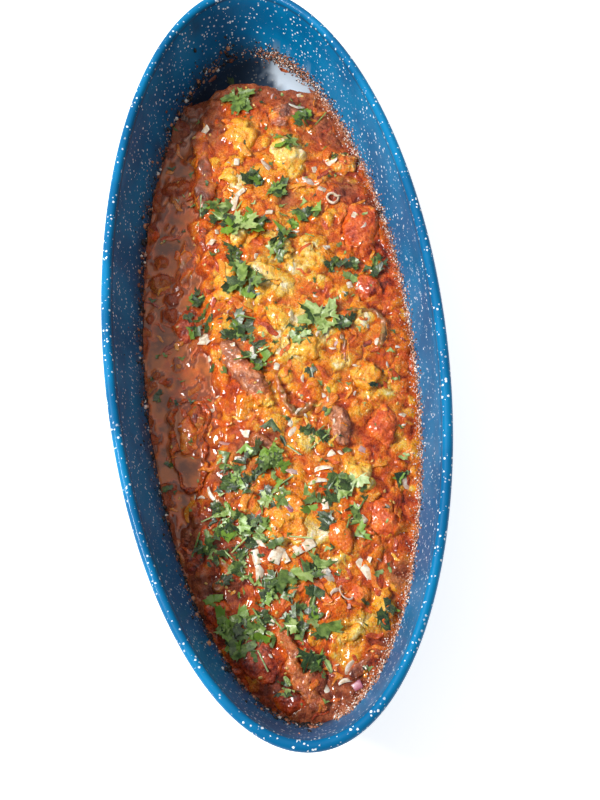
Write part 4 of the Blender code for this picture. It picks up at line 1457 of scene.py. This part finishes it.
def clustered_herbs(chance):
    """Plans for the leaves of every cluster: mostly knife-cut bits, smaller and denser near the left end."""
    plans = []
    for x, y, spread, how_many, length in HERB_CLUSTERS:
        dense = x < 0.002 and y < -0.065
        for k in range(round(how_many * (1.5 if dense else 1.15))):
            spot_x = x + chance.gauss(0, spread * 0.70)
            spot_y = y + chance.gauss(0, spread * 0.70)
            kind = chance.choices(range(SPRIG), (2, 3, 3, 5, 5, 4, 3))[0]
            if length > 0.015 and k == 0:
                kind = SPRIG
            size = length * (chance.uniform(0.5, 1.1) if kind != SPRIG else 1.15)
            if kind in CUT_BITS:
                size *= 1.15
            if dense:
                size *= 0.88
            if kind != SPRIG:
                size = min(size, 0.0080 if kind in WHOLE_LEAVES else 0.0125)
            if share_out(spot_x, spot_y, FILL_INSET + 0.001 + size * 0.6) > 1:
                continue
            if any(math.hypot(spot_x - x0, spot_y - y0) < reach for x0, y0, reach in KEPT_CLEAR):
                continue
            tone = chance.random() ** 1.5 * 0.90 + (0.3 if kind == SPRIG else 0)
            masks = {"tone": min(tone, 1.0), "lime": 0.8 if chance.random() < 0.15 else 0.0}
            tilt = chance.gauss(0, 0.26)
            roll = chance.gauss(0, 0.36)
            turn = chance.uniform(0, 2 * math.pi)
            plans.append((kind, spot_x, spot_y, turn, tilt, roll, size, chance.uniform(-0.6, 0.7), masks))
    return plans


def make_herbs():
    """Chopped leaves in their clusters, loose bits and stems all over, and a few bits on the wall."""
    chance = random.Random(11)
    plans = clustered_herbs(chance)
    for _ in range(LOOSE_HERBS):
        x, y = spot_in_oval(chance, FILL_INSET + 0.006)
        masks = {"tone": chance.random(), "lime": 0.0}
        size = chance.uniform(0.0018, 0.0042)
        kind = chance.choice((*CUT_BITS, SHRED))
        plans.append((kind, x, y, chance.uniform(0, 6.28), 0.1, 0.2, size, 0.2, masks))
    half_width, _ = half_sizes(FILL_INSET + 0.009)
    for _ in range(HERB_STEMS):
        x, y, spread, _, _ = chance.choice(HERB_CLUSTERS)
        x = max(-half_width * 0.9, min(x + chance.gauss(0, spread), half_width * 0.9))
        y += chance.gauss(0, spread)
        if share_out(x, y, FILL_INSET + 0.009) > 1:
            continue
        masks = {"tone": chance.uniform(0.5, 0.9), "lime": 0.0}
        size = np.array([0.010, chance.uniform(0.006, 0.013), 0.010])
        plans.append((STEM, x, y, chance.uniform(0, 6.28), chance.gauss(0, 0.12), 0.0, size, 0.2, masks))
    ground.add(PAN)
    for x, y, turn, size in WALL_HERBS:
        masks = {"tone": 0.25, "lime": 0.0}
        plans.append((chance.choice(CUT_BITS), x, y, math.radians(turn), 0.0, 0.0, size, 0.0, masks))
    herbs = lay_copies(herb_templates(), plans, "chopped_herbs", 0.45, 0.0002)
    crisp_edges(herbs, 45)
    return dress(herbs, leaf_finish(), "pepper")


def thin_bit(across, along, shape, thick, bevel=0.0):
    """A thin bit one unit long: a grid that shape(x, y) bends, made thick, then bevelled or rounded."""
    deselect()
    bpy.ops.mesh.primitive_grid_add(x_subdivisions=across, y_subdivisions=along, size=1.0, location=(0, 0, 0))
    bit = bpy.context.object
    points = points_of(bit.data)
    points[:, 0], points[:, 2] = shape(points[:, 0].copy(), points[:, 1].copy())
    set_points(bit.data, points)
    thicken = bit.modifiers.new("thicken", "SOLIDIFY")
    thicken.thickness = thick
    if bevel:
        round_off = bit.modifiers.new("round_off", "BEVEL")
        round_off.width = bevel
        round_off.segments = 2
    else:
        soften = bit.modifiers.new("soften", "SUBSURF")
        soften.levels = soften.render_levels = 1
    apply_modifiers(bit)
    return template_from(bit)


def onion_templates():
    """Onion bits one unit long: a dice, a curved slice, a long strip and a thin ring."""
    made = []
    for width, curve, thick in ((0.72, 0.25, 0.26), (0.34, 1.1, 0.10), (0.20, 0.5, 0.09)):
        bent = curve > 0.4

        def shape(x, y):
            across = x * width * (1 - 0.45 * (2 * y) ** 2 * bent) + bent * 0.55 * y**2
            return across, -curve * (x * width) ** 2 - curve * 0.30 * y**2

        made.append(thin_bit(3, 6, shape, thick, thick * 0.22))
    deselect()
    bpy.ops.mesh.primitive_torus_add(
        major_radius=0.44, minor_radius=0.055, major_segments=18, minor_segments=6, location=(0, 0, 0)
    )
    bpy.context.object.scale = (0.62, 1.0, 1.3)
    bpy.ops.object.transform_apply(location=True, rotation=True, scale=True)
    made.append(template_from(bpy.context.object))
    return made


def make_onions():
    """The chopped onion and shallot: the pieces that stand out, and small ones strewn about."""
    chance = random.Random(21)
    forms = {"dice": 0, "arc": 1, "strip": 2, "ring": 3}
    plans = []
    for x, y, turn, length, form, purple in ONION_BITS:
        tilt, roll = chance.gauss(0, 0.15), chance.gauss(0, 0.25)
        turn = math.radians(turn - 90)
        plans.append((forms[form], x, y, turn, tilt, roll, length, 0.0, {"purple": purple}))
    for _ in range(LOOSE_ONIONS):
        x, y = spot_in_oval(chance, FILL_INSET + 0.010)
        form = chance.choice((0, 1, 1))
        turn = chance.uniform(0, 6.28)
        tilt, roll = chance.gauss(0, 0.3), chance.gauss(0, 0.3)
        length = chance.uniform(0.0022, 0.0048)
        masks = {"purple": 0.6 if chance.random() < 0.12 else 0.0}
        plans.append((form, x + 0.004, y, turn, tilt, roll, length, 0.0, masks))
    onions = lay_copies(onion_templates(), plans, "chopped_onion", 0.0, 0.0004)
    crisp_edges(onions, 40)
    return dress(onions, ONION, "onion")


def bit_templates():
    """Soft bits one unit long: a bent strip of onion, a curled flake of skin and a lump of tomato."""
    made = []
    forms = ((0.22, 0.45, 0.6, 0.10), (0.34, 0.20, 1.1, 0.07), (0.62, 0.05, 0.9, 0.26))
    for width, bend_by, curl, thick in forms:

        def shape(x, y):
            narrow = np.sqrt(np.maximum(1 - (1.8 * y) ** 2 * 0.85, 0.15))
            across = x * width * narrow + bend_by * y**2 + 0.05 * np.sin(9 * y)
            return across, -curl * (x * width) ** 2 * 2 + 0.03 * np.sin(8 * y + 1)

        made.append(thin_bit(3, 6, shape, thick))
    return made


def make_cooked_bits():
    """Soft onion strips, skins and tomato bits lying half sunk all over the stew."""
    chance = random.Random(27)
    plans = []
    pieces = search_tree(*FOOD)
    while len(plans) < COOKED_BITS:
        x, y = spot_in_oval(chance, FILL_INSET + 0.004)
        if y > 0.158 or (x < shore_x(y) and chance.random() < 0.35):
            continue
        piece = pieces.ray_cast(Vector((x, y, ABOVE)), DOWN)[0]
        if piece and piece.z > heap_z(x, y) + 0.0006 and chance.random() < 0.85:
            continue
        kind = chance.choices(range(3), (4, 4, 5))[0]
        if kind < 2:
            length = 0.0045 + min(chance.expovariate(1 / 0.0030), 0.011)
        else:
            length = chance.uniform(0.0025, 0.0070)
        yellow = math.exp(-(((x - 0.010) / 0.022) ** 2)) * (abs(y - 0.010) < 0.13)
        rich = min(max(chance.gauss(0.36 + 0.22 * yellow, 0.13), 0.10), 0.92)
        turn = chance.uniform(0, 6.28)
        tilt, roll = chance.gauss(0, 0.10), chance.gauss(0, 0.22)
        masks = {"rich": rich, "crease_shade": 0.0}
        plans.append((kind, x, y, turn, tilt, roll, length, chance.uniform(-0.3, 0.3), masks))
    bits = lay_copies(bit_templates(), plans, "cooked_bits", 0.8, 0.0001)
    ground.add(bits)
    return dress(bits, COOKED, "tomato")


def onion_slice():
    """A flat slice one unit long: part of one layer, ribbed along its length, with cut ends."""

    def shape(x, y):
        ribs = np.where(np.round((x + 0.5) * 12).astype(int) % 2 == 0, 0.006, -0.006)
        return x * (1 - 0.10 * y) + 0.05 * y**2, ribs - 0.30 * x**2 - 0.16 * y**2

    return thin_bit(12, 8, shape, 0.13, 0.012)


def make_large_onions():
    """Each large onion piece: two slices lying against each other."""
    chance = random.Random(23)
    slice_shape = onion_slice()
    for node, slices in LARGE_ONIONS:
        plans = []
        for x, y, turn, length, wide in slices:
            size = np.array([length * wide, length, length])
            tilt, roll = chance.gauss(0, 0.10), chance.gauss(0, 0.16)
            plans.append((0, x, y, math.radians(turn - 90), tilt, roll, size, 0.0, {"purple": 0.0}))
        piece = lay_copies([slice_shape], plans, node + "_piece", 0.0, 0.0007)
        crisp_edges(piece, 40)
        ground.add(piece)
        dress(piece, ONION, "onion", node)


def ball_template(rings):
    """A ball one unit across."""
    deselect()
    bpy.ops.mesh.primitive_ico_sphere_add(subdivisions=rings, radius=0.5, location=(0, 0, 0))
    return template_from(bpy.context.object)


def make_seeds():
    """Tomato seeds, most of them on the seeded tomato."""
    chance = random.Random(31)
    low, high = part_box("tomato_seeded")
    plans = []
    for i in range(SEEDS):
        if i < SEEDS_IN_TOMATO:
            x, y = chance.uniform(low.x, high.x), chance.uniform(low.y, high.y)
        else:
            x, y = spot_in_oval(chance, FILL_INSET + 0.008)
        size = np.array([0.0013, 0.0021, 0.0007]) * chance.uniform(0.8, 1.15)
        turn = chance.uniform(0, 6.28)
        tilt, roll = chance.gauss(0, 0.3), chance.gauss(0, 0.3)
        plans.append((0, x, y, turn, tilt, roll, size, 0.0, {}))
    seeds = lay_copies([ball_template(2)], plans, "tomato_seeds", 0.0, 0.0001)
    finish = soft_food_finish(
        "tomato_seed", ((222, 170, 84), (240, 204, 120), (226, 140, 60), 0.4),
        patch=300, grain=1200, gloss=0.6, depth=0.0002, scatter=0.3,
    )
    return dress(seeds, finish, "tomato")


def make_residue():
    """Dried grains of sauce: a crust along the right wall, and strays on the left and far ones."""
    chance = random.Random(41)
    copies = []
    for i in range(RIGHT_GRAINS + FAR_GRAINS + LEFT_GRAINS):
        burnt = 0.14
        size = chance.uniform(0.0005, 0.0012)
        if i < RIGHT_GRAINS:
            turn = chance.uniform(-1.45, 1.0)
            rise = min(chance.expovariate(1 / 0.0027), 0.012) - 0.0008
        elif i < RIGHT_GRAINS + FAR_GRAINS:
            turn = chance.gauss(1.20, 0.16)
            rise = chance.gauss(0.0035, 0.0030) - 0.004 * max(turn - 1.45, 0)
            burnt = 0.35
        else:
            turn = chance.uniform(1.65, 4.75)
            rise = chance.expovariate(1 / 0.0042)
            burnt = 0.6
            size *= 0.9 if chance.random() < 0.8 else 2.4
        z = FILL_HEIGHT + rise
        half_width, half_length = half_sizes(wall_inset(z) + 0.0001)
        masks = {"tone": chance.random(), "burnt": 1.0 if chance.random() < burnt else 0.0}
        stretch = np.array([size, size * chance.uniform(0.7, 1.5), size * chance.uniform(0.7, 1.5)])
        tumble = turned(chance.uniform(0, 6.28), chance.uniform(0, 3), 0, stretch)
        copies.append((0, tumble, (half_width * math.cos(turn), half_length * math.sin(turn), z), masks))
    for _ in range(SHORE_GRAINS):
        turn = chance.uniform(-1.45, 1.0)
        half_width, half_length = half_sizes(FILL_INSET + chance.expovariate(1 / 0.0014))
        x, y = half_width * math.cos(turn), half_length * math.sin(turn)
        found = ground.drop(x, y)
        size = chance.uniform(0.0004, 0.0010)
        masks = {"tone": chance.uniform(0.35, 1.0), "burnt": 1.0 if chance.random() < 0.05 else 0.0}
        tumble = turned(chance.uniform(0, 6.28), chance.uniform(0, 3), 0, size)
        copies.append((0, tumble, (x, y, found[0]), masks))
    grains = raise_mesh("dried_grains", *joined([ball_template(1)], copies))
    return dress(grains, crumb_finish(), "stew")


make_cooked_bits()
make_large_onions()
make_seeds()
make_onions()
make_herbs()
make_residue()


# ---- floor, light and camera ----


def make_stage():
    """A pale floor under a white world."""
    deselect()
    bpy.ops.mesh.primitive_plane_add(size=6.0, location=(0, 0, -0.0003))
    floor = bpy.context.object
    floor.name = "pale_floor"
    made, _, shader = new_finish("pale_floor", Roughness=0.9, Emission_Strength=0.72)
    shader.inputs["Base Color"].default_value = (0.80, 0.80, 0.80, 1)
    shader.inputs["Emission Color"].default_value = (1, 1, 1, 1)
    floor.data.materials.append(made)
    world = bpy.data.worlds.new("studio")
    bpy.context.scene.world = world
    world.use_nodes = True
    backdrop = world.node_tree.nodes["Background"]
    backdrop.inputs["Color"].default_value = (1.0, 1.0, 1.0, 1)
    backdrop.inputs["Strength"].default_value = 0.34


def area_light(name, place, aim, size, power):
    """A round lamp that faces its aim."""
    light = bpy.data.lights.new(name, "AREA")
    light.shape = "DISK"
    light.size = size
    light.energy = power
    holder = bpy.data.objects.new(name, light)
    bpy.context.scene.collection.objects.link(holder)
    holder.location = place
    holder.rotation_euler = (Vector(aim) - Vector(place)).to_track_quat("-Z", "Y").to_euler()


def make_camera():
    """Over the near end of the pan, looking a little towards the far end."""
    camera = bpy.data.cameras.new("camera")
    camera.lens = 45.0
    camera.sensor_width = 36.0
    holder = bpy.data.objects.new("camera", camera)
    bpy.context.scene.collection.objects.link(holder)
    holder.location = (0.0147, -0.2119, PAN_HEIGHT + 0.4628)
    holder.rotation_euler = (math.radians(19.46), math.radians(2.72), math.radians(-6.0))
    bpy.context.scene.camera = holder


make_stage()
area_light("key", (-0.68, 0.06, 0.90), (0.0, 0.0, 0.02), 0.35, 15.5)
area_light("fill", (-0.10, 0.60, 1.1), (0.0, 0.0, 0.02), 1.3, 3.0)
make_camera()
bpy.context.scene.view_settings.view_transform = "Standard"
